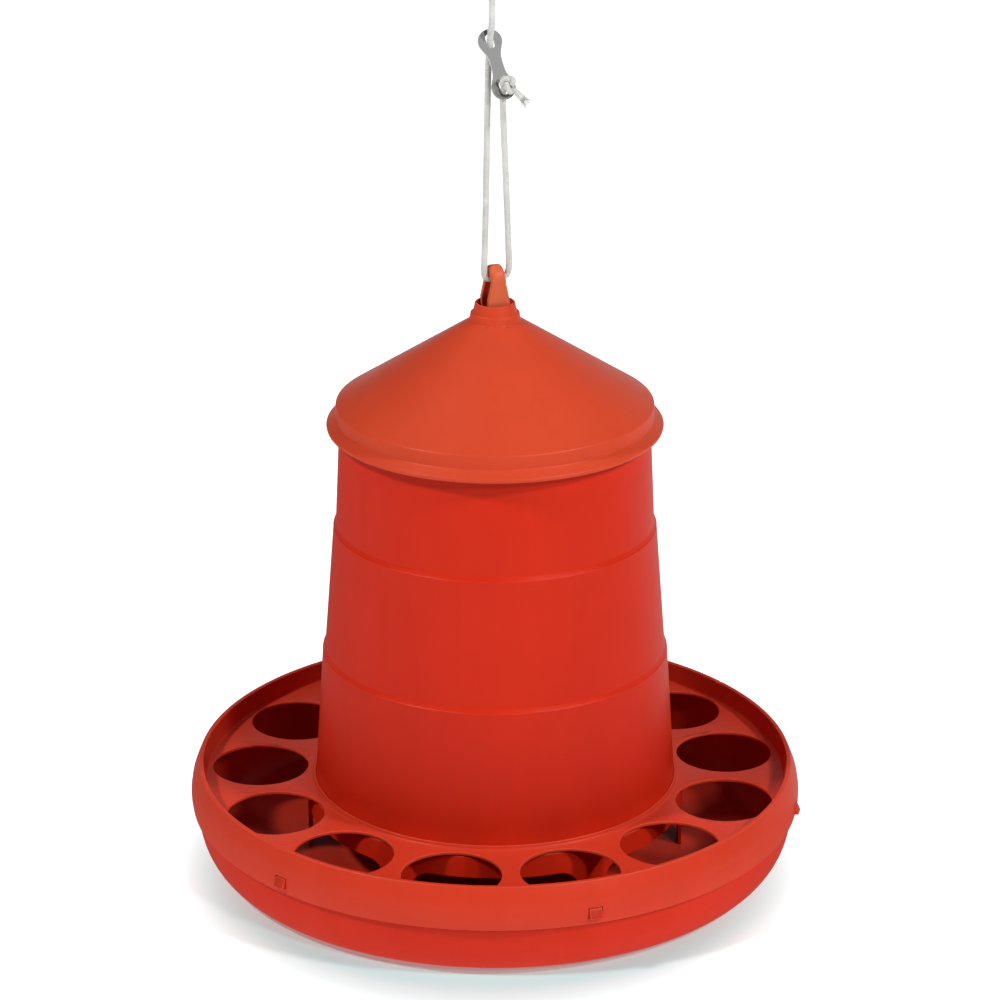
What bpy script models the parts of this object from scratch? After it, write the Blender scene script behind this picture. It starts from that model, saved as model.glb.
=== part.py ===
"""Hanging poultry feeder: pan, clip-on head guard, tapered hopper, conical lid, centre stem and cord.

Metres, +Z up. The origin is under the middle of the pan, on the floor that the pan stands on.
Angles around the feeder start at the front, -Y, and grow towards +X.
"""

import math

import bmesh
import bpy
from mathutils import Matrix, Vector

# Clearances. Pieces that rest on each other keep REST, pieces that slide together keep FIT.
REST = 0.0003
FIT = 0.0005
CLIP_FIT = 0.0006
LID_FIT = 0.0008

# Pan: a round dish with a curved side, whose floor rises to a cone with a flat hub in the middle.
PAN_RADIUS = 0.1892
PAN_HEIGHT = 0.0524
PAN_WALL = 0.0022
PAN_SIDE_WIDTH = 0.0222
PAN_SIDE_HEIGHT = 0.0340
PAN_SIDE_ROUNDNESS = 2.15
PAN_HUB_HEIGHT = 0.0240
PAN_HUB_MARGIN = 0.0030
PAN_CONE_SETBACK = 0.0190

# Lugs on the pan's wall, each standing out through a window in the guard's skirt.
LUG_COUNT = 6
LUG_FIRST_ANGLE = math.radians(18)
LUG_WIDTH = 0.0080
LUG_HEIGHT = 0.0060
LUG_DROP = 0.0092
LUG_PROUD = 0.0026
LUG_ROOT = 0.0010

# Head guard: a flat ring with a hole for each bird, an upright rim and a skirt over the pan's wall.
# The holes fill the ring's width but for a margin, and as many go round as leave a web between them.
GUARD_WALL = 0.0022
GUARD_PLATE_DROP = 0.0020
GUARD_RIM_HEIGHT = 0.0121
GUARD_RIM_WIDTH = 0.0028
GUARD_RIM_LEAN = 0.0018
GUARD_RIM_INSET = 0.0040
GUARD_BULGE = 0.0014
GUARD_EDGE_TUCK = 0.0010
GUARD_SKIRT_HEIGHT = 0.0166
GUARD_COLLAR_HEIGHT = 0.0034
GUARD_COLLAR_WIDTH = 0.0020
HEAD_HOLE_MARGIN = 0.0029
HEAD_HOLE_WEB = 0.0110
HEAD_HOLE_FIRST_ANGLE = math.radians(-10.06)

# Hopper: a tube that widens downwards in three drafted lengths, each a little wider than the one above.
# Under the guard's plate it steps out to a shoulder that carries the plate, and a skirt with feed ports.
HOPPER_TOP_RADIUS = 0.0953
HOPPER_HEIGHT = 0.2962
HOPPER_WALL = 0.0020
HOPPER_STEP = 0.0016
HOPPER_STEP_HEIGHT = 0.0035
HOPPER_UPPER_STEP = 0.2190
HOPPER_LOWER_STEP = 0.1365
HOPPER_UPPER_DRAFT = 0.0461
HOPPER_MIDDLE_DRAFT = 0.0785
HOPPER_LOWER_DRAFT = 0.0669
HOPPER_SHOULDER = 0.0050
HOPPER_SKIRT_DRAFT = 0.0060
FEED_PORTS = 6
FEED_PORT_HEIGHT = 0.0310
FEED_PORT_ROUNDING = 0.0110
HOPPER_FOOT_WIDTH = 0.0180

# Lid: a cone on a short upright wall with a flared brim, and a two-step collar round the hanger.
LID_WALL = 0.0018
LID_SLOPE = math.radians(32.9)
LID_WALL_HEIGHT = 0.0085
BRIM_WIDTH = 0.0060
BRIM_FLARE_HEIGHT = 0.0043
BRIM_HEIGHT = 0.0066
COLLAR_STEP = 0.0030
COLLAR_HEIGHT = 0.0048
COLLAR_TOP_HEIGHT = 0.0062
COLLAR_WALL = 0.0015

# Centre stem: an eye for the cord, a ribbed shank, a flange on the pan's hub and a threaded end.
EYE_TURN = math.radians(20)
EYE_RISE = 0.0235
EYE_TOP_THICKNESS = 0.0060
EYE_LEG_THICKNESS = 0.0035
EYE_DEPTH = 0.0160
EYE_TOP_WIDTH = 0.0085
EYE_TOP_ROUNDING = 0.0022
EYE_FOOT_WIDTH = 0.0134
EYE_STRAIGHT = 0.0100
EYE_FLARE = 0.0110
EYE_OPENING_HEIGHT = 0.0290
EYE_SHOULDER = 0.0040
SHANK_RIB = 0.0028
SHANK_TOP_WIDTH = 0.0130
SHANK_FOOT_WIDTH = 0.0200
FLANGE_RADIUS = 0.0150
FLANGE_THICKNESS = 0.0032
THREAD_RADIUS = 0.0055
THREAD_LENGTH = 0.0150

# Wing nut that draws the stem's flange down on the hub, in the hollow under the pan's cone.
NUT_WALL = 0.0040
NUT_HEIGHT = 0.0080
WING_SPAN = 0.0320
WING_THICKNESS = 0.0030
WING_HEIGHT = 0.0060

# Cord tensioner: a slotted steel plate with two round lobes, leaning back and rolled to the left.
PLATE_THICKNESS = 0.0020
PLATE_LOBE_RADIUS = 0.0073
PLATE_WAIST = 0.0092
PLATE_SLOT_SPACING = 0.0286
PLATE_SLOT_WIDTH = 0.0050
PLATE_SLOT_LENGTH = 0.0088
PLATE_BEVEL = 0.0004
PLATE_RISE = 0.1240
PLATE_SHIFT = 0.0010
PLATE_LEAN_BACK = math.radians(22)
PLATE_ROLL = math.radians(16.4)
PLATE_TURN = math.radians(12)

# Cord. Its route is given from the top of the stem's eye: from the knot in front of the tensioner's
# lower slot, down through the eye, and up behind the tensioner and out through its upper slot.
CORD_DIAMETER = 0.0040
CORD_POINT_SPACING = 0.0045
CORD_ROUTE = (
    Vector((0.00545, -0.0063, 0.1109)),
    Vector((0.0050, -0.0043, 0.1098)),
    Vector((0.0047, -0.0027, 0.1080)),
    Vector((0.0046, -0.0017, 0.1050)),
    Vector((0.0047, -0.0012, 0.0990)),
    Vector((0.0051, -0.0008, 0.0880)),
    Vector((0.0062, 0.0002, 0.0620)),
    Vector((0.0074, 0.0014, 0.0310)),
    Vector((0.0083, 0.0027, 0.0050)),
    Vector((0.0084, 0.0030, -0.0010)),
    Vector((0.0081, 0.0029, -0.0046)),
    Vector((0.0070, 0.0025, -0.0070)),
    Vector((0.0051, 0.0019, -0.0082)),
    Vector((0.0028, 0.0010, -0.0084)),
    Vector((0.0000, 0.0000, -0.0084)),
    Vector((-0.0028, -0.0010, -0.0084)),
    Vector((-0.0050, -0.0018, -0.0081)),
    Vector((-0.0062, -0.0023, -0.0067)),
    Vector((-0.0065, -0.0024, -0.0044)),
    Vector((-0.0065, -0.0024, -0.0010)),
    Vector((-0.0063, -0.0020, 0.0070)),
    Vector((-0.0056, -0.0008, 0.0330)),
    Vector((-0.0049, 0.0009, 0.0730)),
    Vector((-0.0043, 0.0026, 0.1080)),
    Vector((-0.0040, 0.0041, 0.1211)),
    Vector((-0.0037, 0.0057, 0.1266)),
    Vector((-0.0033, 0.0068, 0.1304)),
    Vector((-0.0030, 0.0067, 0.1333)),
    Vector((-0.0030, 0.0051, 0.1367)),
    Vector((-0.0029, 0.0036, 0.1402)),
    Vector((-0.0024, 0.0028, 0.1434)),
    Vector((-0.0019, 0.0026, 0.1480)),
    Vector((-0.0018, 0.0026, 0.1580)),
    Vector((-0.0019, 0.0024, 0.1795)),
)

# Knots. Each is a lump of the same cord: one with a short tail, one with a loop to hang the feeder by.
STOPPER_LENGTH = 0.0118
STOPPER_WIDTH = 0.0092
STOPPER_DEPTH = 0.0082
STOPPER_SHIFT = 0.0020
TAIL_LENGTH = 0.0085
LOOP_KNOT_LENGTH = 0.0125
LOOP_KNOT_WIDTH = 0.0092
LOOP_WIDTH = 0.0170
LOOP_HEIGHT = 0.0280

# Resolution of the round shapes.
TURN_STEPS = 56
HOPPER_STEPS = 48
SMALL_STEPS = 24
HOLE_SIDES = 24
SLOT_SIDES = 6
SIDE_STEPS = 6

RED = (0.62, 0.045, 0.012)
RED_LIGHT = (0.68, 0.070, 0.022)
STEEL = (0.30, 0.30, 0.30)
WHITE = (0.72, 0.72, 0.68)

# Sizes that follow from those above.
PAN_FOOT_RADIUS = PAN_RADIUS - PAN_SIDE_WIDTH
PAN_HUB_RADIUS = FLANGE_RADIUS + PAN_HUB_MARGIN
PAN_BORE = THREAD_RADIUS + FIT
GUARD_PLATE_TOP = PAN_HEIGHT - GUARD_PLATE_DROP
GUARD_PLATE_FOOT = GUARD_PLATE_TOP - GUARD_WALL
GUARD_RIM_TOP = GUARD_PLATE_TOP + GUARD_RIM_HEIGHT
GUARD_SHOULDER_RADIUS = PAN_RADIUS + CLIP_FIT + GUARD_WALL
GUARD_BULGE_RADIUS = GUARD_SHOULDER_RADIUS + GUARD_BULGE
GUARD_EDGE_RADIUS = GUARD_BULGE_RADIUS - GUARD_EDGE_TUCK
GUARD_RIM_RADIUS = GUARD_SHOULDER_RADIUS - GUARD_RIM_INSET
GUARD_RIM_INSIDE = GUARD_RIM_RADIUS - GUARD_RIM_WIDTH
GUARD_RIM_FOOT = GUARD_RIM_INSIDE - GUARD_RIM_LEAN
GUARD_SKIRT_EDGE = PAN_HEIGHT - GUARD_SKIRT_HEIGHT
LUG_MIDDLE = PAN_HEIGHT - LUG_DROP
HOPPER_FOOT = PAN_WALL + REST
HOPPER_TOP = HOPPER_FOOT + HOPPER_HEIGHT
LID_INSIDE = HOPPER_TOP_RADIUS + LID_FIT
LID_RADIUS = LID_INSIDE + LID_WALL
LID_RISE = math.tan(LID_SLOPE)
LID_UNDER_EDGE = HOPPER_TOP + REST / math.cos(LID_SLOPE) - LID_FIT * LID_RISE
LID_EDGE = LID_UNDER_EDGE + LID_WALL / math.cos(LID_SLOPE) - LID_WALL * LID_RISE
LID_BORE = math.hypot(EYE_DEPTH / 2, EYE_FOOT_WIDTH / 2) + FIT
COLLAR_TOP_RADIUS = LID_BORE + COLLAR_WALL
COLLAR_RADIUS = COLLAR_TOP_RADIUS + COLLAR_STEP
COLLAR_FOOT = LID_EDGE + (LID_RADIUS - COLLAR_RADIUS) * LID_RISE
LID_TOP = COLLAR_FOOT + COLLAR_HEIGHT + COLLAR_TOP_HEIGHT
EYE_TOP = LID_TOP + EYE_RISE
EYE_OPENING_TOP = EYE_TOP - EYE_TOP_THICKNESS
EYE_OPENING_FOOT = EYE_OPENING_TOP - EYE_OPENING_HEIGHT
EYE_FOOT = EYE_OPENING_FOOT - EYE_SHOULDER
FLANGE_FOOT = PAN_HUB_HEIGHT + REST
FLANGE_TOP = FLANGE_FOOT + FLANGE_THICKNESS
NUT_TOP = PAN_HUB_HEIGHT - PAN_WALL - REST
THREAD_FOOT = NUT_TOP - THREAD_LENGTH


def hopper_outline():
    """(radius, height) corners of the hopper's outside, from its rim down to its feet."""
    corners = [(HOPPER_TOP_RADIUS, HOPPER_TOP)]
    lengths = (
        (HOPPER_FOOT + HOPPER_UPPER_STEP, HOPPER_UPPER_DRAFT),
        (HOPPER_FOOT + HOPPER_LOWER_STEP, HOPPER_MIDDLE_DRAFT),
    )
    for step_height, draft in lengths:
        radius, height = corners[-1]
        step_top = step_height + HOPPER_STEP_HEIGHT / 2
        radius += (height - step_top) * draft
        corners.append((radius, step_top))
        corners.append((radius + HOPPER_STEP, step_top - HOPPER_STEP_HEIGHT))
    radius, height = corners[-1]
    shoulder = GUARD_PLATE_FOOT - REST
    neck = radius + (height - shoulder) * HOPPER_LOWER_DRAFT
    corners.append((neck, shoulder))
    corners.append((neck + HOPPER_SHOULDER, shoulder))
    corners.append((corners[-1][0] + (shoulder - HOPPER_FOOT) * HOPPER_SKIRT_DRAFT, HOPPER_FOOT))
    return corners


HOPPER_NECK_RADIUS = hopper_outline()[-3][0]
HOPPER_FOOT_RADIUS = hopper_outline()[-1][0]
COLLAR_INSIDE = HOPPER_NECK_RADIUS + FIT
COLLAR_OUTSIDE = COLLAR_INSIDE + GUARD_COLLAR_WIDTH
HEAD_HOLE_PITCH_RADIUS = (GUARD_RIM_FOOT + COLLAR_OUTSIDE) / 2
HEAD_HOLE_RADIUS = (GUARD_RIM_FOOT - COLLAR_OUTSIDE) / 2 - HEAD_HOLE_MARGIN
HEAD_HOLES = int(2 * math.pi * HEAD_HOLE_PITCH_RADIUS / (2 * HEAD_HOLE_RADIUS + HEAD_HOLE_WEB))
PAN_CONE_RADIUS = HOPPER_FOOT_RADIUS - HOPPER_WALL - PAN_CONE_SETBACK


def clear_scene():
    for obj in list(bpy.data.objects):
        bpy.data.objects.remove(obj, do_unlink=True)


def make_collection(name, hidden=False):
    collection = bpy.data.collections.new(name)
    collection.hide_render = hidden
    bpy.context.scene.collection.children.link(collection)
    return collection


def place(name, data, collection, look=None):
    """Links a new object. look is its own material's (colour, roughness, metallic)."""
    obj = bpy.data.objects.new(name, data)
    collection.objects.link(obj)
    if look:
        colour, roughness, metallic = look
        material = bpy.data.materials.new(f"{name}_material")
        material.use_nodes = True
        shader = material.node_tree.nodes["Principled BSDF"]
        shader.inputs["Base Color"].default_value = (*colour, 1.0)
        shader.inputs["Roughness"].default_value = roughness
        shader.inputs["Metallic"].default_value = metallic
        material.diffuse_color = (*colour, 1.0)
        data.materials.append(material)
    else:
        obj.display_type = "WIRE"
        obj.hide_render = True
    return obj


def section(*corners):
    """Outline of (radius, height) points. A corner given with a third value is rounded to that radius."""
    points = []
    for index, corner in enumerate(corners):
        here = Vector(corner[:2])
        rounding = corner[2] if len(corner) > 2 else 0.0
        if not rounding:
            points.append(here)
            continue
        before = (Vector(corners[index - 1][:2]) - here).normalized()
        after = (Vector(corners[(index + 1) % len(corners)][:2]) - here).normalized()
        half = before.angle(after) / 2
        centre = here + (before + after).normalized() * rounding / math.sin(half)
        start = here + before * rounding / math.tan(half) - centre
        end = here + after * rounding / math.tan(half) - centre
        turn = -start.angle_signed(end)
        steps = max(1, round(abs(turn) / (0.18 if rounding > 0.004 else 1.1)))
        for step in range(steps + 1):
            points.append(centre + Matrix.Rotation(turn * step / steps, 2) @ start)
    return points


def turned(name, outline, collection, look=None, steps=TURN_STEPS, closed=True):
    """Turns an outline about Z. The outline runs clockwise: out along the top, then down the outside."""
    mesh = bpy.data.meshes.new(name)
    points = [(point[0], 0.0, point[1]) for point in outline]
    edges = [(index, index + 1) for index in range(len(points) - 1)]
    if closed:
        edges.append((len(points) - 1, 0))
    mesh.from_pydata(points, edges, [])
    obj = place(name, mesh, collection, look)
    screw = obj.modifiers.new("Turn", "SCREW")
    screw.steps = steps
    screw.render_steps = steps
    screw.use_merge_vertices = True
    screw.merge_threshold = 0.00001
    screw.use_smooth_shade = True
    return obj


def solid(name, build, collection, look=None):
    """An object whose closed mesh is made by build(bm)."""
    bm = bmesh.new()
    build(bm)
    bmesh.ops.recalc_face_normals(bm, faces=bm.faces)
    mesh = bpy.data.meshes.new(name)
    bm.to_mesh(mesh)
    bm.free()
    return place(name, mesh, collection, look)


def combine(obj, other, operation):
    modifier = obj.modifiers.new(other.name, "BOOLEAN")
    modifier.operation = operation
    modifier.object = other


def around(count, first=0.0):
    return [first + 2 * math.pi * index / count for index in range(count)]


def at_angle(angle, radius, height=0.0):
    return Vector((radius * math.sin(angle), -radius * math.cos(angle), height))


def add_box(bm, size, centre, angle=0.0):
    """A box whose own -Y side faces outwards at the angle."""
    made = bmesh.ops.create_cube(bm, size=1.0)["verts"]
    bmesh.ops.scale(bm, verts=made, vec=size)
    bmesh.ops.rotate(bm, verts=made, matrix=Matrix.Rotation(angle, 3, "Z"))
    bmesh.ops.translate(bm, verts=made, vec=centre)
    return made


def pan_side(inset):
    """The curve from the pan's wall to its floor, moved inwards by inset, from the top down."""
    width = PAN_SIDE_WIDTH - inset
    height = PAN_SIDE_HEIGHT - inset
    power = 2 / PAN_SIDE_ROUNDNESS
    points = []
    for step in range(SIDE_STEPS + 1):
        angle = math.pi / 2 * step / SIDE_STEPS
        out = width * math.cos(angle) ** power if step < SIDE_STEPS else 0.0
        down = height * math.sin(angle) ** power
        points.append((PAN_FOOT_RADIUS + out, PAN_SIDE_HEIGHT - down))
    return points


def make_pan(parts, cutters):
    slope = math.atan2(PAN_HUB_HEIGHT - PAN_WALL, PAN_CONE_RADIUS - PAN_HUB_RADIUS)
    under = PAN_WALL * math.tan(slope / 2)
    inside = PAN_RADIUS - PAN_WALL
    outline = section(
        (PAN_BORE, PAN_HUB_HEIGHT),
        (PAN_HUB_RADIUS, PAN_HUB_HEIGHT, 0.004),
        (PAN_CONE_RADIUS, PAN_WALL, 0.025),
        *reversed(pan_side(PAN_WALL)),
        (inside, PAN_HEIGHT, 0.0007),
        (PAN_RADIUS, PAN_HEIGHT, 0.0007),
        *pan_side(0.0),
        (PAN_CONE_RADIUS + under, 0.0, 0.004),
        (PAN_HUB_RADIUS - under, PAN_HUB_HEIGHT - PAN_WALL, 0.002),
        (PAN_BORE, PAN_HUB_HEIGHT - PAN_WALL),
    )
    pan = turned("pan", outline, parts, (RED, 0.40, 0.0))
    root = PAN_RADIUS - LUG_ROOT
    tip = GUARD_BULGE_RADIUS + LUG_PROUD
    for number, angle in enumerate(around(LUG_COUNT, LUG_FIRST_ANGLE), 1):

        def wedge(bm, angle=angle):
            middle = at_angle(angle, (root + tip) / 2, LUG_MIDDLE)
            made = add_box(bm, (LUG_WIDTH, tip - root, LUG_HEIGHT), middle, angle)
            outwards = at_angle(angle, 1.0)
            nose = [vert for vert in made if vert.co.z > LUG_MIDDLE and (vert.co - middle).dot(outwards) > 0]
            bmesh.ops.translate(bm, verts=nose, vec=-outwards * LUG_PROUD)

        combine(pan, solid(f"lug_{number}", wedge, cutters), "UNION")
    return pan


def make_guard(parts, cutters):
    collar_top = GUARD_PLATE_TOP + GUARD_COLLAR_HEIGHT
    hollow_top = GUARD_RIM_TOP - GUARD_WALL
    outline = section(
        (COLLAR_INSIDE, collar_top, 0.0005),
        (COLLAR_OUTSIDE, collar_top, 0.0005),
        (COLLAR_OUTSIDE, GUARD_PLATE_TOP),
        (GUARD_RIM_FOOT, GUARD_PLATE_TOP),
        (GUARD_RIM_INSIDE, GUARD_RIM_TOP, 0.0008),
        (GUARD_RIM_RADIUS, GUARD_RIM_TOP, 0.0010),
        (GUARD_SHOULDER_RADIUS, PAN_HEIGHT, 0.020),
        (GUARD_BULGE_RADIUS, LUG_MIDDLE, 0.018),
        (GUARD_EDGE_RADIUS, GUARD_SKIRT_EDGE, 0.0006),
        (GUARD_EDGE_RADIUS - GUARD_WALL, GUARD_SKIRT_EDGE, 0.0006),
        (GUARD_BULGE_RADIUS - GUARD_WALL, LUG_MIDDLE),
        (GUARD_SHOULDER_RADIUS - GUARD_WALL, PAN_HEIGHT),
        (GUARD_RIM_RADIUS - GUARD_WALL * 0.4, hollow_top),
        (GUARD_RIM_INSIDE + GUARD_WALL * 0.4, hollow_top),
        (GUARD_RIM_FOOT + GUARD_WALL, GUARD_PLATE_FOOT),
        (COLLAR_INSIDE, GUARD_PLATE_FOOT),
    )
    guard = turned("head_guard", outline, parts, (RED, 0.40, 0.0))

    def hole_punches(bm):
        for angle in around(HEAD_HOLES, HEAD_HOLE_FIRST_ANGLE):
            made = bmesh.ops.create_cone(
                bm,
                cap_ends=True,
                segments=HOLE_SIDES,
                radius1=HEAD_HOLE_RADIUS,
                radius2=HEAD_HOLE_RADIUS,
                depth=GUARD_WALL * 3,
            )["verts"]
            middle = at_angle(angle, HEAD_HOLE_PITCH_RADIUS, GUARD_PLATE_TOP - GUARD_WALL / 2)
            bmesh.ops.rotate(bm, verts=made, matrix=Matrix.Rotation(angle, 3, "Z"))
            bmesh.ops.translate(bm, verts=made, vec=middle)

    def window_punches(bm):
        for angle in around(LUG_COUNT, LUG_FIRST_ANGLE):
            size = (LUG_WIDTH + 2 * FIT, GUARD_WALL * 4, LUG_HEIGHT + 2 * FIT)
            add_box(bm, size, at_angle(angle, GUARD_BULGE_RADIUS, LUG_MIDDLE), angle)

    combine(guard, solid("hole_punches", hole_punches, cutters), "DIFFERENCE")
    combine(guard, solid("window_punches", window_punches, cutters), "DIFFERENCE")
    return guard


def make_hopper(parts, cutters):
    outside = hopper_outline()
    inside = [(radius - HOPPER_WALL, height) for radius, height in reversed(outside)]
    for index in (1, 2):
        inside[index] = (inside[index][0], inside[index][1] - HOPPER_WALL)
    outside[0] = (*outside[0], 0.0006)
    outside[-2] = (*outside[-2], 0.0010)
    inside[-1] = (*inside[-1], 0.0006)
    hopper = turned("hopper", section(*outside, *inside), parts, (RED, 0.42, 0.0), HOPPER_STEPS)
    chord = 2 * HOPPER_FOOT_RADIUS * math.sin(math.pi / FEED_PORTS)
    width = chord - HOPPER_FOOT_WIDTH
    depth = HOPPER_FOOT_RADIUS * 0.45
    for number, angle in enumerate(around(FEED_PORTS), 1):

        def arch(bm, angle=angle):
            add_box(bm, (width, depth, FEED_PORT_HEIGHT * 2), at_angle(angle, HOPPER_FOOT_RADIUS, HOPPER_FOOT), angle)
            corners = [
                edge for edge in bm.edges
                if all(vert.co.z > HOPPER_FOOT for vert in edge.verts)
                and abs(edge.calc_length() - depth) < 1e-5
            ]
            bmesh.ops.bevel(bm, geom=corners, offset=FEED_PORT_ROUNDING, segments=4, affect="EDGES", profile=0.5)

        combine(hopper, solid(f"feed_port_{number}", arch, cutters), "DIFFERENCE")
    return hopper


def make_lid(parts):
    wall_foot = LID_EDGE - LID_WALL_HEIGHT
    brim_foot = wall_foot - BRIM_HEIGHT
    brim_edge = LID_RADIUS + BRIM_WIDTH
    collar_step = COLLAR_FOOT + COLLAR_HEIGHT
    outline = section(
        (LID_BORE, LID_TOP, 0.0004),
        (COLLAR_TOP_RADIUS, LID_TOP, 0.0006),
        (COLLAR_TOP_RADIUS, collar_step),
        (COLLAR_RADIUS, collar_step, 0.0008),
        (COLLAR_RADIUS, COLLAR_FOOT),
        (LID_RADIUS, LID_EDGE, 0.0014),
        (LID_RADIUS, wall_foot, 0.0010),
        (brim_edge, wall_foot - BRIM_FLARE_HEIGHT, 0.0010),
        (brim_edge - 0.0006, brim_foot, 0.0005),
        (brim_edge - LID_WALL, brim_foot, 0.0005),
        (LID_INSIDE + 0.0006, wall_foot - LID_WALL),
        (LID_INSIDE, wall_foot),
        (LID_INSIDE, LID_UNDER_EDGE),
        (LID_BORE, LID_UNDER_EDGE + (LID_INSIDE - LID_BORE) * LID_RISE),
    )
    return turned("lid", outline, parts, (RED_LIGHT, 0.42, 0.0), HOPPER_STEPS)


def eye_outline(depth, top, foot):
    """Side view of the eye: straight legs and a half-round top, as (depth, height) points."""
    radius = depth / 2
    arc = [math.pi * (1 - step / 10) for step in range(11)]
    points = [(radius * math.cos(angle), top - radius + radius * math.sin(angle)) for angle in arc]
    return [(-radius, foot), *points, (radius, foot)]


def add_slab(bm, outline, half_width):
    """A flat outline in the YZ plane, made half_width thick to each side of it."""
    face = bm.faces.new([bm.verts.new((-half_width, y, z)) for y, z in outline])
    made = bmesh.ops.extrude_face_region(bm, geom=[face])["geom"]
    moved = [item for item in made if isinstance(item, bmesh.types.BMVert)]
    bmesh.ops.translate(bm, verts=moved, vec=(2 * half_width, 0.0, 0.0))


def eye_half_width(height):
    """The strip is narrow round the top of the eye and flares towards its foot."""
    share = (EYE_TOP - EYE_STRAIGHT - height) / EYE_FLARE
    return (EYE_TOP_WIDTH + (EYE_FOOT_WIDTH - EYE_TOP_WIDTH) * min(1.0, max(0.0, share))) / 2


def make_stem(parts, cutters):
    rib_top = EYE_FOOT + EYE_SHOULDER / 2
    rib_foot = FLANGE_TOP - FLANGE_THICKNESS / 2

    def strip(bm):
        add_slab(bm, eye_outline(EYE_DEPTH, EYE_TOP, EYE_FOOT), 0.5)
        for height in (EYE_TOP - EYE_STRAIGHT, EYE_TOP - EYE_STRAIGHT - EYE_FLARE):
            geometry = bm.verts[:] + bm.edges[:] + bm.faces[:]
            bmesh.ops.bisect_plane(bm, geom=geometry, plane_co=(0, 0, height), plane_no=(0, 0, 1))
        for vert in bm.verts:
            vert.co.x = math.copysign(eye_half_width(vert.co.z), vert.co.x)
        arc_foot = EYE_TOP - EYE_DEPTH / 2 + 0.0005
        crown = [
            edge for edge in bm.edges
            if all(vert.co.z > arc_foot for vert in edge.verts) and edge.verts[0].co.x * edge.verts[1].co.x > 0
        ]
        bmesh.ops.bevel(bm, geom=crown, offset=EYE_TOP_ROUNDING, segments=2, affect="EDGES", profile=0.5)

    def opening(bm):
        outline = eye_outline(EYE_DEPTH - 2 * EYE_LEG_THICKNESS, EYE_OPENING_TOP, EYE_OPENING_FOOT)
        add_slab(bm, outline, EYE_FOOT_WIDTH)

    def rib(bm):
        size = (SHANK_FOOT_WIDTH, SHANK_RIB, rib_top - rib_foot)
        for vert in add_box(bm, size, Vector((0.0, 0.0, (rib_top + rib_foot) / 2))):
            if vert.co.z > rib_foot + 0.001:
                vert.co.x *= SHANK_TOP_WIDTH / SHANK_FOOT_WIDTH

    stem = solid("centre_stem", strip, parts, (RED_LIGHT, 0.40, 0.0))
    eye = solid("eye_opening", opening, cutters)
    long_rib = solid("long_rib", rib, cutters)
    cross_rib = solid("cross_rib", rib, cutters)
    outline = section(
        (0.0, FLANGE_TOP + FLANGE_THICKNESS),
        (SHANK_FOOT_WIDTH / 4, FLANGE_TOP + FLANGE_THICKNESS),
        (FLANGE_RADIUS, FLANGE_TOP, 0.0008),
        (FLANGE_RADIUS, FLANGE_FOOT),
        (THREAD_RADIUS, FLANGE_FOOT),
        (THREAD_RADIUS, THREAD_FOOT, 0.0008),
        (0.0, THREAD_FOOT),
    )
    foot = turned("stem_foot", outline, cutters, None, SMALL_STEPS, closed=False)
    for piece in (stem, eye, long_rib, cross_rib):
        piece.rotation_euler.z = EYE_TURN
    cross_rib.rotation_euler.z = EYE_TURN + math.pi / 2
    combine(stem, eye, "DIFFERENCE")
    for piece in (long_rib, cross_rib, foot):
        combine(stem, piece, "UNION")
    return stem


def make_nut(parts, cutters):
    radius = PAN_BORE + NUT_WALL
    outline = section(
        (PAN_BORE, NUT_TOP),
        (radius, NUT_TOP, 0.0008),
        (radius, NUT_TOP - NUT_HEIGHT, 0.0008),
        (PAN_BORE, NUT_TOP - NUT_HEIGHT),
    )
    nut = turned("wing_nut", outline, parts, (RED, 0.45, 0.0), SMALL_STEPS)
    root = PAN_BORE + NUT_WALL / 2
    for number, angle in enumerate(around(2, math.pi / 2), 1):

        def wing(bm, angle=angle):
            centre = at_angle(angle, (root + WING_SPAN / 2) / 2, NUT_TOP - NUT_HEIGHT / 2)
            add_box(bm, (WING_THICKNESS, WING_SPAN / 2 - root, WING_HEIGHT), centre, angle)
            bmesh.ops.bevel(bm, geom=bm.edges[:], offset=0.0008, segments=1, affect="EDGES")

        combine(nut, solid(f"wing_{number}", wing, cutters), "UNION")
    return nut


def plate_frame():
    """Place of the tensioner's plate, whose long side runs along its own Z and whose front faces -Y."""
    turn = Matrix.Rotation(PLATE_TURN, 4, "Z")
    roll = Matrix.Rotation(-PLATE_ROLL, 4, "Y")
    lean = Matrix.Rotation(-PLATE_LEAN_BACK, 4, "X")
    return Matrix.Translation((PLATE_SHIFT, 0.0, EYE_TOP + PLATE_RISE)) @ lean @ roll @ turn


def round_ended(half_length, radius, sides):
    """Outline of a slot with half-round ends, its long side along Y."""
    points = []
    for end in (1, -1):
        for step in range(sides + 1):
            angle = math.pi * step / sides + (0.0 if end == 1 else math.pi)
            points.append((radius * math.cos(angle), end * (half_length - radius) + radius * math.sin(angle)))
    return points


def flat_outline(name, outlines, thickness, collection, look=None):
    """A flat piece from closed 2D outlines. Outlines inside the first one are holes."""
    curve = bpy.data.curves.new(name, "CURVE")
    curve.dimensions = "2D"
    curve.fill_mode = "BOTH"
    curve.extrude = thickness / 2
    for outline in outlines:
        spline = curve.splines.new("POLY")
        spline.points.add(len(outline) - 1)
        for point, (x, y) in zip(spline.points, outline):
            point.co = (x, y, 0.0, 1.0)
        spline.use_cyclic_u = True
    obj = place(name, curve, collection, look)
    return as_mesh(obj)


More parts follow.
